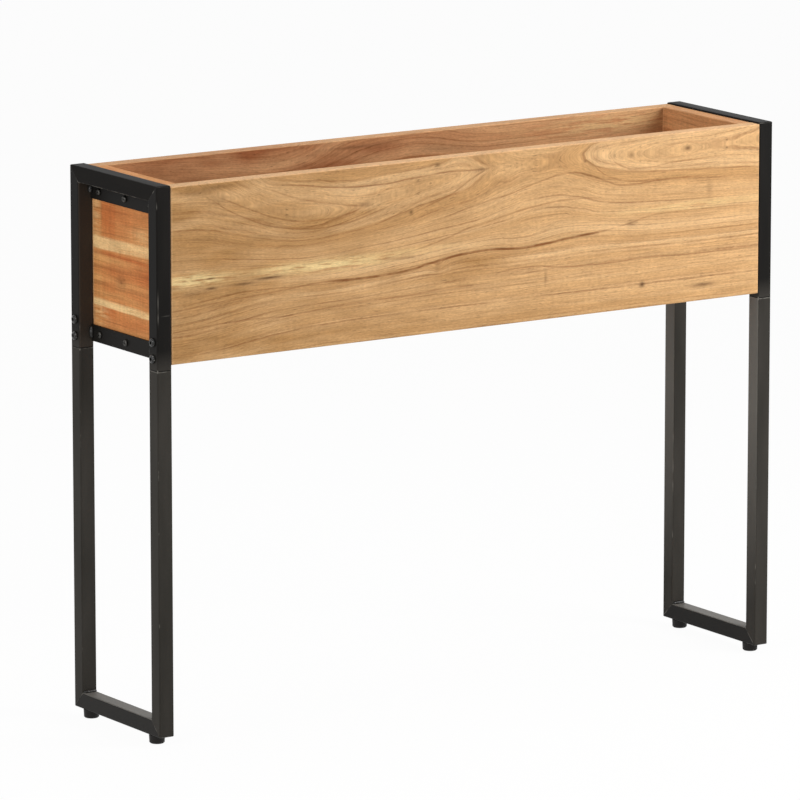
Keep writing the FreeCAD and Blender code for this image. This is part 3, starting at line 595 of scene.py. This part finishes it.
END_BOARD = {
    "crest": [(-80, 800), (0, 795), (80, 802)],
    "sag": [(-80, 0), (-15, -0.5), (50, -3), (80, -4)],
    "bend": [(-80, 7), (80, 7)],
    "humps": [(-15, 546, 10, 7, 3)],
    "calm": [],
    "chart": [(-75, -63, CREAM, 0.75), (-146, -140, CREAM, 0.9), (-28, -28, RED_VEIN, 0.4),
              (-98, -98, RED_VEIN, 0.4), (-120, -120, RED_VEIN, 0.35)],
    "veins": [],
    "sapwood": [(-72, 625, 9, 30, 0.4), (40, 608, 28, 8, 0.4), (-64, 500, 18, 11, 0.5),
                (-78, 590, 10, 8, 0.5)],
    "marks": [(-15, 546, 9, 6, 1.2), (-15, 546, 6.5, 4.3, -1.25), (-15, 546, 3.5, 2.6, 0.7),
              (-28, 590, 14, 6, 0.14), (0, 679, 300, 2.5, 0.22), (-60, 636, 1.2, 26, 0.2),
              (-28, 636, 1.2, 26, 0.16), (-78, 500, 2, 6, 0.4)],
    "rosy": [(-80, 0.3), (-62, 0.3), (-58, 0.9), (-30, 0.9), (-26, 0.6), (80, 0.8)],
    "blush": [(10, 628, 50, 20, 0.4), (30, 560, 60, 12, 0.4), (20, 496, 50, 9, 0.5), (-10, 576, 90, 3, 0.7)],
    "brown": "#D0884E", "pale": "#E8AA6A", "rose": "#C7743F", "vein": RED_VEIN, "sap": CREAM,
    "half": box("left_end_board")[1][1], "rim": 0.0, "saw": 0.08, "steady": 0.65, "lines": 0.25,
    "pores": 0.15,
}
RIGHT_END_BOARD = {**END_BOARD, "brown": "#CC8E5C", "pale": "#E4AC76", "rose": "#C48254"}
print("Main veins on the rear board:", len(REAR_BOARD["veins"]))

# %% [markdown]
# Each finish is turned so that its length runs along its board, and moved so that the board's outer face
# has no depth. The rings lean into the wood from there, and the veins come out on the edges where they
# should. A CAD node has a slot for each of its colours, so the finish goes into all of them.

# %% Finish the boards
ACROSS = math.pi / 2
FRONT_FACE, REAR_FACE = box("front_board")[0][1], box("rear_board")[1][1]
END_FACE = box("left_end_board")[0][0]
BOARD_FINISHES = {
    "front_board": acacia("front_board_acacia", 0, FRONT_FACE, FRONT_BOARD),
    "rear_board": acacia("rear_board_acacia", 0, REAR_FACE, REAR_BOARD),
    "bottom_board": acacia("bottom_board_acacia", 0, 0, BOTTOM_BOARD),
    "left_end_board": acacia("left_end_board_acacia", ACROSS, END_FACE, END_BOARD),
    "right_end_board": acacia("right_end_board_acacia", -ACROSS, END_FACE, RIGHT_END_BOARD),
}


def give(node, material):
    """Gives a CAD node its finish in every slot."""
    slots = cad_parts[node].material_slots
    for slot in slots:
        slot.material = material
    return len(slots)


print("Board finishes:", {node: give(node, finish) for node, finish in BOARD_FINISHES.items()})

# %% [markdown]
# ## Black steel
# The frames are square steel tube with a black powder coat, which is paint baked from dust. It is thinnest
# on the tube's corners, along the mitres and at the seam over each leg, so grey steel shows through there.
# On the corners that grey is partly a painted highlight, where light would catch their rounding.
# A mask could be painted on each tube, but one rule serves them all: how near a point is to a corner is
# read from its distance to the tube's middle line, both ways across. Mirrored coordinates let one drawing
# serve all four corners of the planter.

# %% Corners, mitres and edges
TUBE_MIDDLE = [abs(place) for place in centre("front_left_post")[:2]]
CORNER_FROM, CORNER_WHOLE = 8.7, 9.5
MITRE_HALF, GLINT_HALF = 0.8, 0.6
BROKEN = (12, 12, 12)


def on_corners(tree, mirrored, tube):
    """Where a tube's corners are. A tube is the axis that it runs along and a point on its middle line."""
    run, middle = tube
    away = add(tree, "VectorMath", {0: mirrored, 1: middle}, operation="SUBTRACT")
    away = add(tree, "VectorMath", {0: away}, operation="ABSOLUTE")
    away = add(tree, "SeparateXYZ", {0: away}).outputs
    first, second = (away[axis] for axis in "XYZ" if axis != run)
    corner = add(tree, "Math", {0: first, 1: second}, operation="MINIMUM")
    return add(tree, "MapRange", {"Value": corner, "From Min": CORNER_FROM, "From Max": CORNER_WHOLE})


def on_lines(tree, place, spot, mitre, glint_height):
    """Thin broken lines: bare steel on a mitre, painted highlight on an edge. A mitre is its rail's height
    and slope.
    """
    height, slope = mitre
    start = TUBE_MIDDLE[1] - slope * height
    line = add(tree, "Math", {0: spot["Z"], 1: slope, 2: start}, operation="MULTIPLY_ADD")
    line = add(tree, "Math", {0: spot["Y"], 1: line, 2: MITRE_HALF}, operation="COMPARE")
    # A painted highlight runs along the edge at that height.
    edge = add(tree, "Math", {0: spot["Z"], 1: glint_height, 2: GLINT_HALF}, operation="COMPARE")
    line = add(tree, "Math", {0: line, 1: edge}, operation="MAXIMUM")
    broken = add(tree, "MapRange", {"Value": streaks(tree, place, BROKEN), "From Min": 0.45,
                                    "From Max": 0.62, "To Min": 0.04, "To Max": 0.4})
    return add(tree, "Math", {0: line, 1: broken}, operation="MULTIPLY")


print("Corners wear from", CORNER_FROM, "mm off the tube's middle line")

# %% [markdown]
# Corners wear in patches, which also serve as a painted highlight on their rounding. Mitres wear in broken
# lines, and a painted highlight runs in broken lines along one edge. At the seam, where a post stands on its
# leg, the coat has chipped off the corners, and the front has a few scratches. At every point the strongest
# of these counts.

# %% Where the coat is worn through, with painted highlights
SEAM = box("front_left_post")[0][2]
CHIPS_AT, CHIPS_HALF = SEAM - 0.8, 2.2
PATCHY, CHIPS = (22, 22, 22), (5, 5, 5)
BARE_AND_GLINT_SPREAD, BARE_AND_GLINT_MOST = 0.16, 0.6


def bare_and_glints(tree, place, mirrored, tube, mitre, glint_height, bare_and_glint_from, scratches):
    """Where bare steel shows on corners, a mitre, the seam's chips and scratches, and painted highlight on
    corners and an edge.
    """
    spot = add(tree, "SeparateXYZ", {0: mirrored}).outputs
    corner = on_corners(tree, mirrored, tube)
    patchy = add(tree, "MapRange", {"Value": streaks(tree, place, PATCHY, 3.0), "From Min": bare_and_glint_from,
                                    "From Max": bare_and_glint_from + BARE_AND_GLINT_SPREAD, "To Max": BARE_AND_GLINT_MOST})
    bare_and_glint = add(tree, "Math", {0: corner, 1: patchy}, operation="MULTIPLY")
    line = on_lines(tree, place, spot, mitre, glint_height)
    seam = add(tree, "Math", {0: spot["Z"], 1: CHIPS_AT, 2: CHIPS_HALF}, operation="COMPARE")
    chips = add(tree, "MapRange", {"Value": streaks(tree, place, CHIPS), "From Min": 0.44, "From Max": 0.50})
    chips = add(tree, "Math", {0: chips, 1: corner}, operation="MULTIPLY")
    chips = add(tree, "Math", {0: chips, 1: seam}, operation="MULTIPLY")
    front = add(tree, "SeparateXYZ", {0: place}).outputs["Y"]
    front = add(tree, "Math", {0: front, 1: 0.0}, operation="LESS_THAN")
    scratched = add(tree, "Math", {0: patches(tree, place, scratches), 1: front}, operation="MULTIPLY")
    for bare in (chips, line, scratched):
        bare_and_glint = add(tree, "Math", {0: bare_and_glint, 1: bare}, operation="MAXIMUM")
    return bare_and_glint


print("The seams lie at a height of", SEAM, "mm")

# %% [markdown]
# The coat isn't one black either. It clouds along the tube, and it greys towards the seam with a painted
# reflection of the white floor, and some faces carry painted light. Its orange peel is finer than a pixel,
# so it is drawn at about two millimetres. The layers are mixed one over the other: the painted floor
# reflection, the painted light on one face, the dark groove of the seam, and last the bare steel and
# painted highlights.

# %% The powder coat
# The greyed pair is a painted reflection of the white floor; the bare grey is worn steel and a painted
# highlight.
REFLECTED_GREY, BARE_AND_GLINT, GROOVE = ("#302E2A", "#3C3935"), "#8F8B84", "#0B0B0A"
CLOUDS = {"Y": (30, 160, 30), "Z": (30, 30, 160)}
REFLECTION_RISE, PEEL_PER_MM, ROUGH_SPREAD = 24.0, 0.45, 0.12
FACE_HALF, GROOVE_HALF = 0.8, 0.5
NO_MITRE, NO_GLINT = (9999, 1), -1.0
# Axis and level of the face with painted light, the colour and share of that painted light, and how high up
# the tube it is whole
NO_LIT_FACE = ("X", 0, BARE_AND_GLINT, 0.0, 0)


def powder_coat(name, colours, tube, mitre=NO_MITRE, glint_height=NO_GLINT, bare_and_glint_from=0.60, lit_face=NO_LIT_FACE,
                scratches=(), reflection_greying=0.0, rough_from=0.36, shine=0.05):
    """Satin black powder coat: a soft skin with faint clouds and dimples, grey where it is thin, and painted
    light.
    """
    material, tree, place = start_finish(name)
    mirrored = add(tree, "VectorMath", {0: place}, operation="ABSOLUTE")
    spot = add(tree, "SeparateXYZ", {0: mirrored}).outputs
    cloud = streaks(tree, place, CLOUDS[tube[0]])
    clouded = add(tree, "MapRange", {"Value": cloud, **USUAL})
    coat = add(tree, "Mix", {0: clouded, 6: linear(colours[0]), 7: linear(colours[1])}, data_type="RGBA")
    # Towards the seam the coat greys with a painted reflection of the white floor.
    floor_reflection = add(tree, "MapRange", {"Value": spot["Z"], "From Min": SEAM + REFLECTION_RISE, "From Max": SEAM,
                                  "To Max": reflection_greying})
    # The lowest fifth of the way up has none of the painted light, and a millimetre more keeps the range from
    # being empty.
    axis, level, face_light, share, whole = lit_face
    rise = add(tree, "MapRange", {"Value": spot["Z"], "From Min": whole / 5, "From Max": whole + 1,
                                  "To Max": share})
    lit_face_mask = add(tree, "Math", {0: spot[axis], 1: level, 2: FACE_HALF}, operation="COMPARE")
    lit_face_mask = add(tree, "Math", {0: lit_face_mask, 1: rise}, operation="MULTIPLY")
    groove = add(tree, "Math", {0: spot["Z"], 1: SEAM, 2: GROOVE_HALF}, operation="COMPARE")
    bare_and_glint = bare_and_glints(tree, place, mirrored, tube, mitre, glint_height, bare_and_glint_from, scratches)
    for part, layer in ((floor_reflection, REFLECTED_GREY[1]), (lit_face_mask, face_light), (groove, GROOVE), (bare_and_glint, BARE_AND_GLINT)):
        coat = add(tree, "Mix", {0: part, 6: coat, 7: linear(layer)}, data_type="RGBA")

    peel = add(tree, "TexNoise", {"Vector": place, "Scale": PEEL_PER_MM, "Detail": 1.0})
    bump = add(tree, "Bump", {"Height": peel, "Strength": 0.12, "Distance": 0.2 * MM})
    rough = add(tree, "MapRange", {"Value": cloud, **USUAL, "To Min": rough_from,
                                   "To Max": rough_from + ROUGH_SPREAD})
    skin = add(tree, "BsdfPrincipled", {"Base Color": coat, "Normal": bump, "Specular IOR Level": shine,
                                        "Roughness": rough})
    add(tree, "OutputMaterial", {"Surface": skin})
    return material


print("The orange peel is drawn at", round(1 / PEEL_PER_MM, 1), "mm")

# %% [markdown]
# The frames' pieces are coloured differently. The posts and top rails are blackest, and the legs greyest,
# a painted reflection of the white floor. The inside of the posts carries a painted reflection of the wood,
# and the inside of the legs and the top of the bottom rails a painted highlight. Those faces, the mitres
# and the edges are read from the tubes' boxes, so that each coat fits its tube.

# %% Coat the frames
BLACK, DARK = ("#151413", "#1E1C1A"), ("#1B1917", "#262421")
HIGH_RAIL, LOW_RAIL = (centre(f"left_{level}_rail")[2] for level in ("top", "bottom"))
UPRIGHT = ("Z", (*TUBE_MIDDLE, 0))
HIGH, LOW = (("Y", (TUBE_MIDDLE[0], 0, level)) for level in (HIGH_RAIL, LOW_RAIL))
HIGH_MITRE, LOW_MITRE = (HIGH_RAIL, 1), (LOW_RAIL, -1)
# Painted highlights run in broken lines just below each seam and along the top rails' lower edge.
LIP_GLINT, RAIL_GLINT = SEAM - 1.2, HIGH_RAIL - 9.4
INSIDE_X, INSIDE_Y = (-place for place in box("front_left_post")[1][:2])
RAIL_TOP = box("left_bottom_rail")[1][2]
SCRATCHES = [(-448.6, 541, 0.6, 9, 0.35), (-448.6, 522, 0.6, 6, 0.35), (-437, 524, 5, 0.5, 0.2)]
# The posts' inside faces get a painted brown reflection of the wood, and the legs' inside faces and the
# bottom rails' tops a painted highlight.
TUBE_FINISHES = {
    "post": powder_coat("post_powder_coat", BLACK, UPRIGHT, HIGH_MITRE, LIP_GLINT, 0.62, reflection_greying=0.8,
                        lit_face=("Y", INSIDE_Y, "#423A33", 0.7, 0), scratches=SCRATCHES),
    "top_rail": powder_coat("top_rail_powder_coat", BLACK, HIGH, HIGH_MITRE, RAIL_GLINT, 0.64, shine=0.02),
    "leg": powder_coat("leg_powder_coat", REFLECTED_GREY, UPRIGHT, LOW_MITRE, LIP_GLINT,
                       lit_face=("X", INSIDE_X, "#706D68", 0.9, 320)),
    "bottom_rail": powder_coat("bottom_rail_powder_coat", DARK, LOW, LOW_MITRE,
                               lit_face=("Z", RAIL_TOP, "#76736E", 0.8, 0), shine=0.08),
    "flange": powder_coat("flange_powder_coat", BLACK, HIGH),
}
tubes = [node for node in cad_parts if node.endswith(tuple(TUBE_FINISHES))]
for node in tubes:
    give(node, next(finish for kind, finish in TUBE_FINISHES.items() if node.endswith(kind)))
print("Coated pieces:", len(tubes))

# %% [markdown]
# A sawn tube is deburred before it is welded, so its ends are a little rounded, and where two tubes meet
# the two roundings leave a thin groove: across each post above its leg, and along the mitres. The CAD ends
# are sharp. A bevel modifier rounds them without touching the CAD mesh, once its loose triangles are
# joined and its flat faces made whole.

# %% Eased tube ends
TUBE_EASE, EASE_STEPS, TUBE_JOIN = 0.7, 2, 0.001
FLAT_BELOW, EASED_FROM = math.radians(1), math.radians(40)
for node in tubes:
    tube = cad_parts[node]
    tube.modifiers.new("joined", "WELD").merge_threshold = TUBE_JOIN * MM
    whole = tube.modifiers.new("whole_faces", "DECIMATE")
    whole.decimate_type, whole.angle_limit = "DISSOLVE", FLAT_BELOW
    eased = tube.modifiers.new("eased", "BEVEL")
    eased.width, eased.segments, eased.angle_limit = TUBE_EASE * MM, EASE_STEPS, EASED_FROM
    tube.modifiers.new("even_shading", "WEIGHTED_NORMAL")
print("Eased pieces:", len(tubes), "by mm:", TUBE_EASE)

# %% [markdown]
# ## Small pieces
# Beads, screws and studs are nearly all turned shapes, as work on a lathe is, so one helper spins a profile
# about an axis. The other keeps a finished shape: it merges doubles, turns the faces outwards, smooths all
# but the sharp edges, and lets the piece ride on its CAD body, in place of the plain CAD node if it has one.

# %% Helpers for small pieces
DOUBLES, CREASE_FROM = 0.0005, math.radians(35)


def keep_piece(name, shape, body, slot, finish, *nodes):
    """Makes a mesh an object that rides on a body, and that stands for the CAD nodes named."""
    bmesh.ops.remove_doubles(shape, verts=shape.verts, dist=DOUBLES * MM)
    bmesh.ops.recalc_face_normals(shape, faces=shape.faces)
    for face in shape.faces:
        face.smooth = True
    piece = bpy.data.objects.new(name, bpy.data.meshes.new(name))
    shape.to_mesh(piece.data)
    shape.free()
    piece.data.set_sharp_from_angle(angle=CREASE_FROM)
    piece.data.materials.append(finish)
    bpy.context.scene.collection.objects.link(piece)
    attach(piece, body)
    if nodes:
        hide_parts(*nodes)
    return piece


def spun(shape, profile, steps, at, along=(0, 0, 1), across=(1, 0, 0)):
    """Spins a profile of radius and height once about an axis that starts at a place in millimetres."""
    at, along, across = Vector(at), Vector(along), Vector(across)
    line = [shape.verts.new((at + across * radius + along * height) * MM) for radius, height in profile]
    edges = [shape.edges.new(pair) for pair in zip(line, line[1:])]
    bmesh.ops.spin(shape, geom=line + edges, cent=at * MM, axis=along, angle=2 * math.pi, steps=steps,
                   use_merge=True)


print("Edges stay sharp from degrees:", round(math.degrees(CREASE_FROM)))

# %% [markdown]
# The flanges are welded to the posts with one short upright bead at each end, and a longer one lies in
# each lower corner, where the leg meets the bottom rail. A bead is laid as a row of small puddles, which
# leaves ripples. A profile with those ripples is spun about the bead's own axis, and its points are moved
# a little by noise, because a hand-held torch makes no two puddles alike. The coat lies glossier on them.

# %% One weld bead
BEAD_STEPS, BEAD_ROWS, PUDDLES, PUDDLE_RATE, PUDDLE_DIP = 20, 8, 3, 1.5, 0.12
BLUNT_ENDS, LUMP_MM, LUMP_HEIGHT, LUMP_SEED = 3, 4.0, 0.35, 1
# Without a seed this noise starts from the clock, and the beads would change from run to run.
noise.seed_set(LUMP_SEED)
bead_coat = powder_coat("weld_powder_coat", BLACK, HIGH, bare_and_glint_from=0.90, rough_from=0.26, shine=0.4)


def weld_bead(name, at, long, wide, along=(0, 0, 1), across=(1, 0, 0)):
    """One rippled bead in a corner between two pieces of the frame."""
    shape = bmesh.new()
    puddles = max(PUDDLES, round(PUDDLE_RATE * long / wide))
    profile = []
    for row in range(BEAD_ROWS * puddles + 1):
        share = row / (BEAD_ROWS * puddles)
        ends = math.sqrt(max(0.0, 1 - abs(2 * share - 1) ** BLUNT_ENDS))
        puddle = 1 - PUDDLE_DIP + PUDDLE_DIP * abs(math.sin(math.pi * puddles * share))
        profile.append((wide / 2 * ends * puddle, (share - 0.5) * long))
    spun(shape, profile, BEAD_STEPS, at, along, across)
    for vert in shape.verts:
        vert.co += noise.noise_vector(vert.co / (LUMP_MM * MM)) * LUMP_HEIGHT * MM
    return keep_piece(name, shape, "planter", "frame_paint", bead_coat)


print("Finish of the beads:", bead_coat.name)

# %% [markdown]
# Each corner of the planter gets three beads. Corners are named as in the CAD model, front or rear and left
# or right, and each word gives the sign that mirrors one place to its side.

# %% Weld the frames
SIDES = {"left": -1, "right": 1}
ENDS = {"front": -1, "rear": 1}
CORNERS = [f"{end}_{side}" for side in SIDES for end in ENDS]
BEAD_LONG, BEAD_WIDE = {"top": 10.0, "bottom": 15.0}, 7.2
MITRE_LONG, MITRE_WIDE = 18.0, 5.0
FLANGE_FACE = -box("left_top_flange")[0][0]
FLANGE_MIDDLES = {level: centre(f"left_{level}_flange")[2] for level in BEAD_LONG}
BEAD_X, BEAD_Y, BEAD_RISE = FLANGE_FACE + 1.2, INSIDE_Y - 2.0, 1.5
MITRE_Y, MITRE_Z = INSIDE_Y - 1.0, RAIL_TOP + 1.0
beads = []
for corner in CORNERS:
    end, side = corner.split("_")
    for level, height in FLANGE_MIDDLES.items():
        at = (SIDES[side] * BEAD_X, ENDS[end] * BEAD_Y, height + BEAD_RISE)
        beads.append(weld_bead(f"{corner}_{level}_weld", at, BEAD_LONG[level], BEAD_WIDE))
    at = (SIDES[side] * TUBE_MIDDLE[0], ENDS[end] * MITRE_Y, MITRE_Z)
    beads.append(weld_bead(f"{corner}_mitre_weld", at, MITRE_LONG, MITRE_WIDE, (1, 0, 0), (0, 1, 0)))
print("Beads:", len(beads), "faces each:", len(beads[0].data.polygons))

# %% [markdown]
# Small parts need only a plain finish, in which one pattern runs between two colours, so a helper ends each
# of them alike. The screws are zinc-plated steel, dipped black. The real blotches are finer than a pixel,
# so they are drawn at 2.5 millimetres.

# %% The screws' finish
BLOTCH = (2.5, 2.5, 2.5)


def two_tone(tree, pattern, dark, pale, sockets):
    """Ends a finish whose pattern runs between two colours, with the shader's other sockets as given."""
    shade = add(tree, "Mix", {0: pattern, 6: linear(dark), 7: linear(pale)}, data_type="RGBA")
    skin = add(tree, "BsdfPrincipled", {"Base Color": shade, **sockets})
    add(tree, "OutputMaterial", {"Surface": skin})


# Black zinc is a dark metal: it mirrors the lamps softly, and its blotches break the mirror up.
zinc, tree, place = start_finish("black_zinc_steel")
blotch = streaks(tree, place, BLOTCH, 3.0)
rough = add(tree, "MapRange", {"Value": blotch, **USUAL, "To Min": 0.24, "To Max": 0.44})
bump = add(tree, "Bump", {"Height": blotch, "Strength": 0.2, "Distance": 0.1 * MM})
two_tone(tree, blotch, "#2A2928", "#55534F", {"Metallic": 1.0, "Roughness": rough, "Normal": bump})
print("Finish of the screws:", zinc.name)

# %% [markdown]
# Each flange is held to its end board by pan-head wood screws. The CAD screws have plain heads, because
# their recesses only matter to the eye. Here one profile, spun once, gives the tip, the shank and the
# rounded head, which stays open on top.

# %% A pan-head screw
HEAD_WIDE, HEAD_TALL, HEAD_EDGE, HEAD_FLAT, HEAD_STEPS = 8.5, 2.8, 0.7, 0.56, 6
SHANK_WIDE, SHANK_LONG, TIP_LONG, SCREW_STEPS = 4.0, 14.0, 2.5, 24


def pan_head_screw(shape, at, out):
    """One screw whose head stands on the flange and points out, still open on top."""
    radius, shank = HEAD_WIDE / 2, SHANK_WIDE / 2
    flat = HEAD_FLAT * radius
    profile = [(0, -SHANK_LONG), (shank, TIP_LONG - SHANK_LONG), (shank, 0), (radius, 0)]
    for step in range(HEAD_STEPS + 1):
        angle = math.pi / 2 * step / HEAD_STEPS
        profile.append((flat + (radius - flat) * math.cos(angle),
                        HEAD_EDGE + (HEAD_TALL - HEAD_EDGE) * math.sin(angle)))
    spun(shape, profile, SCREW_STEPS, at, (out, 0, 0), (0, 1, 0))


print("Length of a screw in mm:", SHANK_LONG + HEAD_TALL)

# %% [markdown]
# A driver turns the screw by a cross recess in its head. A boolean could cut it, but it leaves ragged faces
# on so small a head, and bridging a round rim to a cross can twist. So the flat between the head's open rim
# and a cross-shaped outline is filled, and the outline is drawn down into the head as it tapers, and closed.
# Three points of one arm, turned by a quarter three times, make the outline.

# %% Cross recesses, and the screws in the flanges
CROSS_REACH, CROSS_HALF, CROSS_DEEP, CROSS_TAPER = 2.0, 0.48, 1.5, 0.7
ARM_POINTS, OTHER_ARMS, ON_RIM = 3, 3, 0.001
SCREW_SPOTS = (-60.0, 0.0, 60.0)


def cross_recess(shape, at, out):
    """Closes the head of the screw at that place with a cross recess."""
    middle = Vector((out * (FLANGE_FACE + HEAD_TALL), at[1], at[2])) * MM
    rim = {vert for vert in shape.verts if abs(vert.co.x - middle.x) < ON_RIM * MM and
           abs(vert.co.y - middle.y) < HEAD_WIDE * MM}
    ring = [edge for edge in shape.edges if rim.issuperset(edge.verts)]
    outline = [(CROSS_HALF, CROSS_HALF), (CROSS_HALF, CROSS_REACH), (-CROSS_HALF, CROSS_REACH)]
    for _ in range(OTHER_ARMS):
        outline += [(-up, along) for along, up in outline[-ARM_POINTS:]]
    cross = [shape.verts.new(middle + Vector((0, along, up)) * MM) for along, up in outline]
    sides = [shape.edges.new(pair) for pair in zip(cross, cross[1:] + cross[:1])]
    bmesh.ops.triangle_fill(shape, edges=ring + sides, normal=(out, 0, 0), use_beauty=True)
    drawn = bmesh.ops.extrude_edge_only(shape, edges=sides)["geom"]
    for vert in (item for item in drawn if isinstance(item, bmesh.types.BMVert)):
        vert.co = middle + CROSS_TAPER * (vert.co - middle) - Vector((out * CROSS_DEEP * MM, 0, 0))
    bmesh.ops.contextual_create(shape, geom=[item for item in drawn if isinstance(item, bmesh.types.BMEdge)])


for side, out in SIDES.items():
    for level, height in FLANGE_MIDDLES.items():
        shape = bmesh.new()
        for spot in SCREW_SPOTS:
            at = (out * FLANGE_FACE, spot, height)
            pan_head_screw(shape, at, out)
            cross_recess(shape, at, out)
        screws = keep_piece(f"{side}_{level}_cross_head_screws", shape, "planter", "fastener_steel", zinc,
                            f"{side}_{level}_flange_screws")
print("Screws in each flange:", len(SCREW_SPOTS), "faces:", len(screws.data.polygons))

# %% [markdown]
# The feet turn on M6 studs, and a stud's thread shows as soon as its foot is screwed out. A bump would
# leave its outline straight, so it is modelled. A thread is one ridge wound round a rod: its outline over
# one pitch is spun upwards, one pitch for every turn, and the turns are joined. Two cuts then take the ends
# off level.

# %% A thread
THREAD_OUT, THREAD_IN, PITCH_MM, TURN_STEPS = 3.0, 2.387, 1.0, 24
# A metric thread has flanks of 30 degrees and a crest of an eighth of its pitch.
FLANK, CREST = (THREAD_OUT - THREAD_IN) * math.tan(math.radians(30)), PITCH_MM / 8
# Three turns more are wound than the thread is long, two of them below it, for the cuts.
SPARE_TURNS, SPARE_BELOW = 3, 2
TURNS_JOIN, ON_CUT = 0.002, 0.0001


def wind_thread(shape, low, high):
    """Winds a thread round the upright axis, from one height in millimetres to another."""
    turns = round((high - low) / PITCH_MM) + SPARE_TURNS
    start = low - SPARE_BELOW * PITCH_MM
    outline = [(THREAD_OUT, 0), (THREAD_OUT, CREST), (THREAD_IN, CREST + FLANK),
               (THREAD_IN, PITCH_MM - FLANK), (THREAD_OUT, PITCH_MM)]
    line = [shape.verts.new((radius * MM, 0, (start + up) * MM)) for radius, up in outline]
    edges = [shape.edges.new(pair) for pair in zip(line, line[1:])]
    bmesh.ops.spin(shape, geom=line + edges, cent=(0, 0, 0), axis=(0, 0, 1), angle=2 * math.pi * turns,
                   dvec=(0, 0, PITCH_MM * MM / TURN_STEPS), steps=TURN_STEPS * turns)
    bmesh.ops.remove_doubles(shape, verts=shape.verts, dist=TURNS_JOIN * MM)
    for level, up in ((low, -1), (high, 1)):
        bmesh.ops.bisect_plane(shape, geom=shape.verts[:] + shape.edges[:] + shape.faces[:],
                               plane_co=(0, 0, level * MM), plane_no=(0, 0, up), clear_outer=True)
        bmesh.ops.holes_fill(shape, edges=[edge for edge in shape.edges if edge.is_boundary and all(
            abs(vert.co.z - level * MM) < ON_CUT * MM for vert in edge.verts)])


print("Depth of the thread in mm:", round(THREAD_OUT - THREAD_IN, 3))

# %% [markdown]
# A stud is such a thread on a disc that sits inside the foot's base. The thread is wound round the origin
# and then moved to its foot, and the disc is spun in its place.

# %% Threaded studs
STUD_LOW, STUD_TOP = (corner[2] for corner in box("front_left_foot_stud"))
DISC_TALL, DISC_WIDE, DISC_STEPS = 2.0, 10.0, 32
FOOT_AT = [abs(place) for place in centre("front_left_foot_nut")[:2]]
SPANGLE = (1.6, 1.6, 1.6)

# Bright zinc is a pale metal with a spangle, which catches the light in small spots.
bright, tree, place = start_finish("bright_zinc_steel")
spangle = streaks(tree, place, SPANGLE, 3.0)
rough = add(tree, "MapRange", {"Value": spangle, **USUAL, "To Min": 0.22, "To Max": 0.40})
two_tone(tree, spangle, "#8E8F8C", "#C9C9C2", {"Metallic": 1.0, "Roughness": rough})


def threaded_stud(corner):
    """The stud of one foot, with its disc and its thread."""
    end, side = corner.split("_")
    at = Vector((SIDES[side] * FOOT_AT[0], ENDS[end] * FOOT_AT[1], 0))
    shape = bmesh.new()
    wind_thread(shape, STUD_LOW + DISC_TALL, STUD_TOP)
    bmesh.ops.transform(shape, matrix=Matrix.Translation(at * MM), verts=shape.verts)
    disc = [(0, 0), (DISC_WIDE / 2, 0), (DISC_WIDE / 2, DISC_TALL), (0, DISC_TALL)]
    spun(shape, disc, DISC_STEPS, at + Vector((0, 0, STUD_LOW)))
    return keep_piece(f"{corner}_threaded_stud", shape, f"{corner}_stud", "inner_steel", bright,
                      f"{corner}_foot_stud")


studs = [threaded_stud(corner) for corner in CORNERS]
print("Studs:", len(studs), "faces each:", len(studs[0].data.polygons))

# %% [markdown]
# The rest of the small parts keep their CAD shapes. The leg bolts are glossy black, because they were
# bolted on after the coating. The feet are moulded polyethylene, the spigots and nuts hidden in the tubes
# are bright zinc, and the dowels in the corners are plain beech.

# %% Bolts, feet, nuts and dowels
CHIP, GRIT_PER_MM, FLECK = (2.2, 2.2, 2.2), 1.2, (12, 1.2, 1.2)

# Enamel is a hard, wet-looking black that a spanner chips.
gloss, tree, place = start_finish("black_enamelled_steel")
chip = streaks(tree, place, CHIP, 3.0)
chip = add(tree, "MapRange", {"Value": chip, "From Min": 0.62, "From Max": 0.68})
two_tone(tree, chip, "#131211", "#8A8782", {"Roughness": 0.16, "Specular IOR Level": 0.4})

# Moulded polyethylene is a dull, waxy black. Its mould's grain is drawn coarser than it is, to show at all.
plastic, tree, place = start_finish("moulded_polyethylene")
grit = add(tree, "TexNoise", {"Vector": place, "Scale": GRIT_PER_MM, "Detail": 1.0})
bump = add(tree, "Bump", {"Height": grit, "Strength": 0.2, "Distance": 0.1 * MM})
two_tone(tree, grit, "#13110F", "#1F1C1A", {"Roughness": 0.5, "Normal": bump, "Specular IOR Level": 0.2})

# Beech is a pale, plain wood with short flecks and hardly any shine.
beech, tree, place = start_finish("plain_beech")
fleck = streaks(tree, place, FLECK)
two_tone(tree, fleck, "#B98F5F", "#E0C091", {"Roughness": 0.6})

SMALL_FINISHES = {"leg_bolts": gloss, "foot_base": plastic, "spigot": bright, "foot_nut": bright,
                  "dowels": beech}
small = [give(node, finish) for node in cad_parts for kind, finish in SMALL_FINISHES.items()
         if node.endswith(kind)]
print("Small CAD pieces with a finish:", len(small))
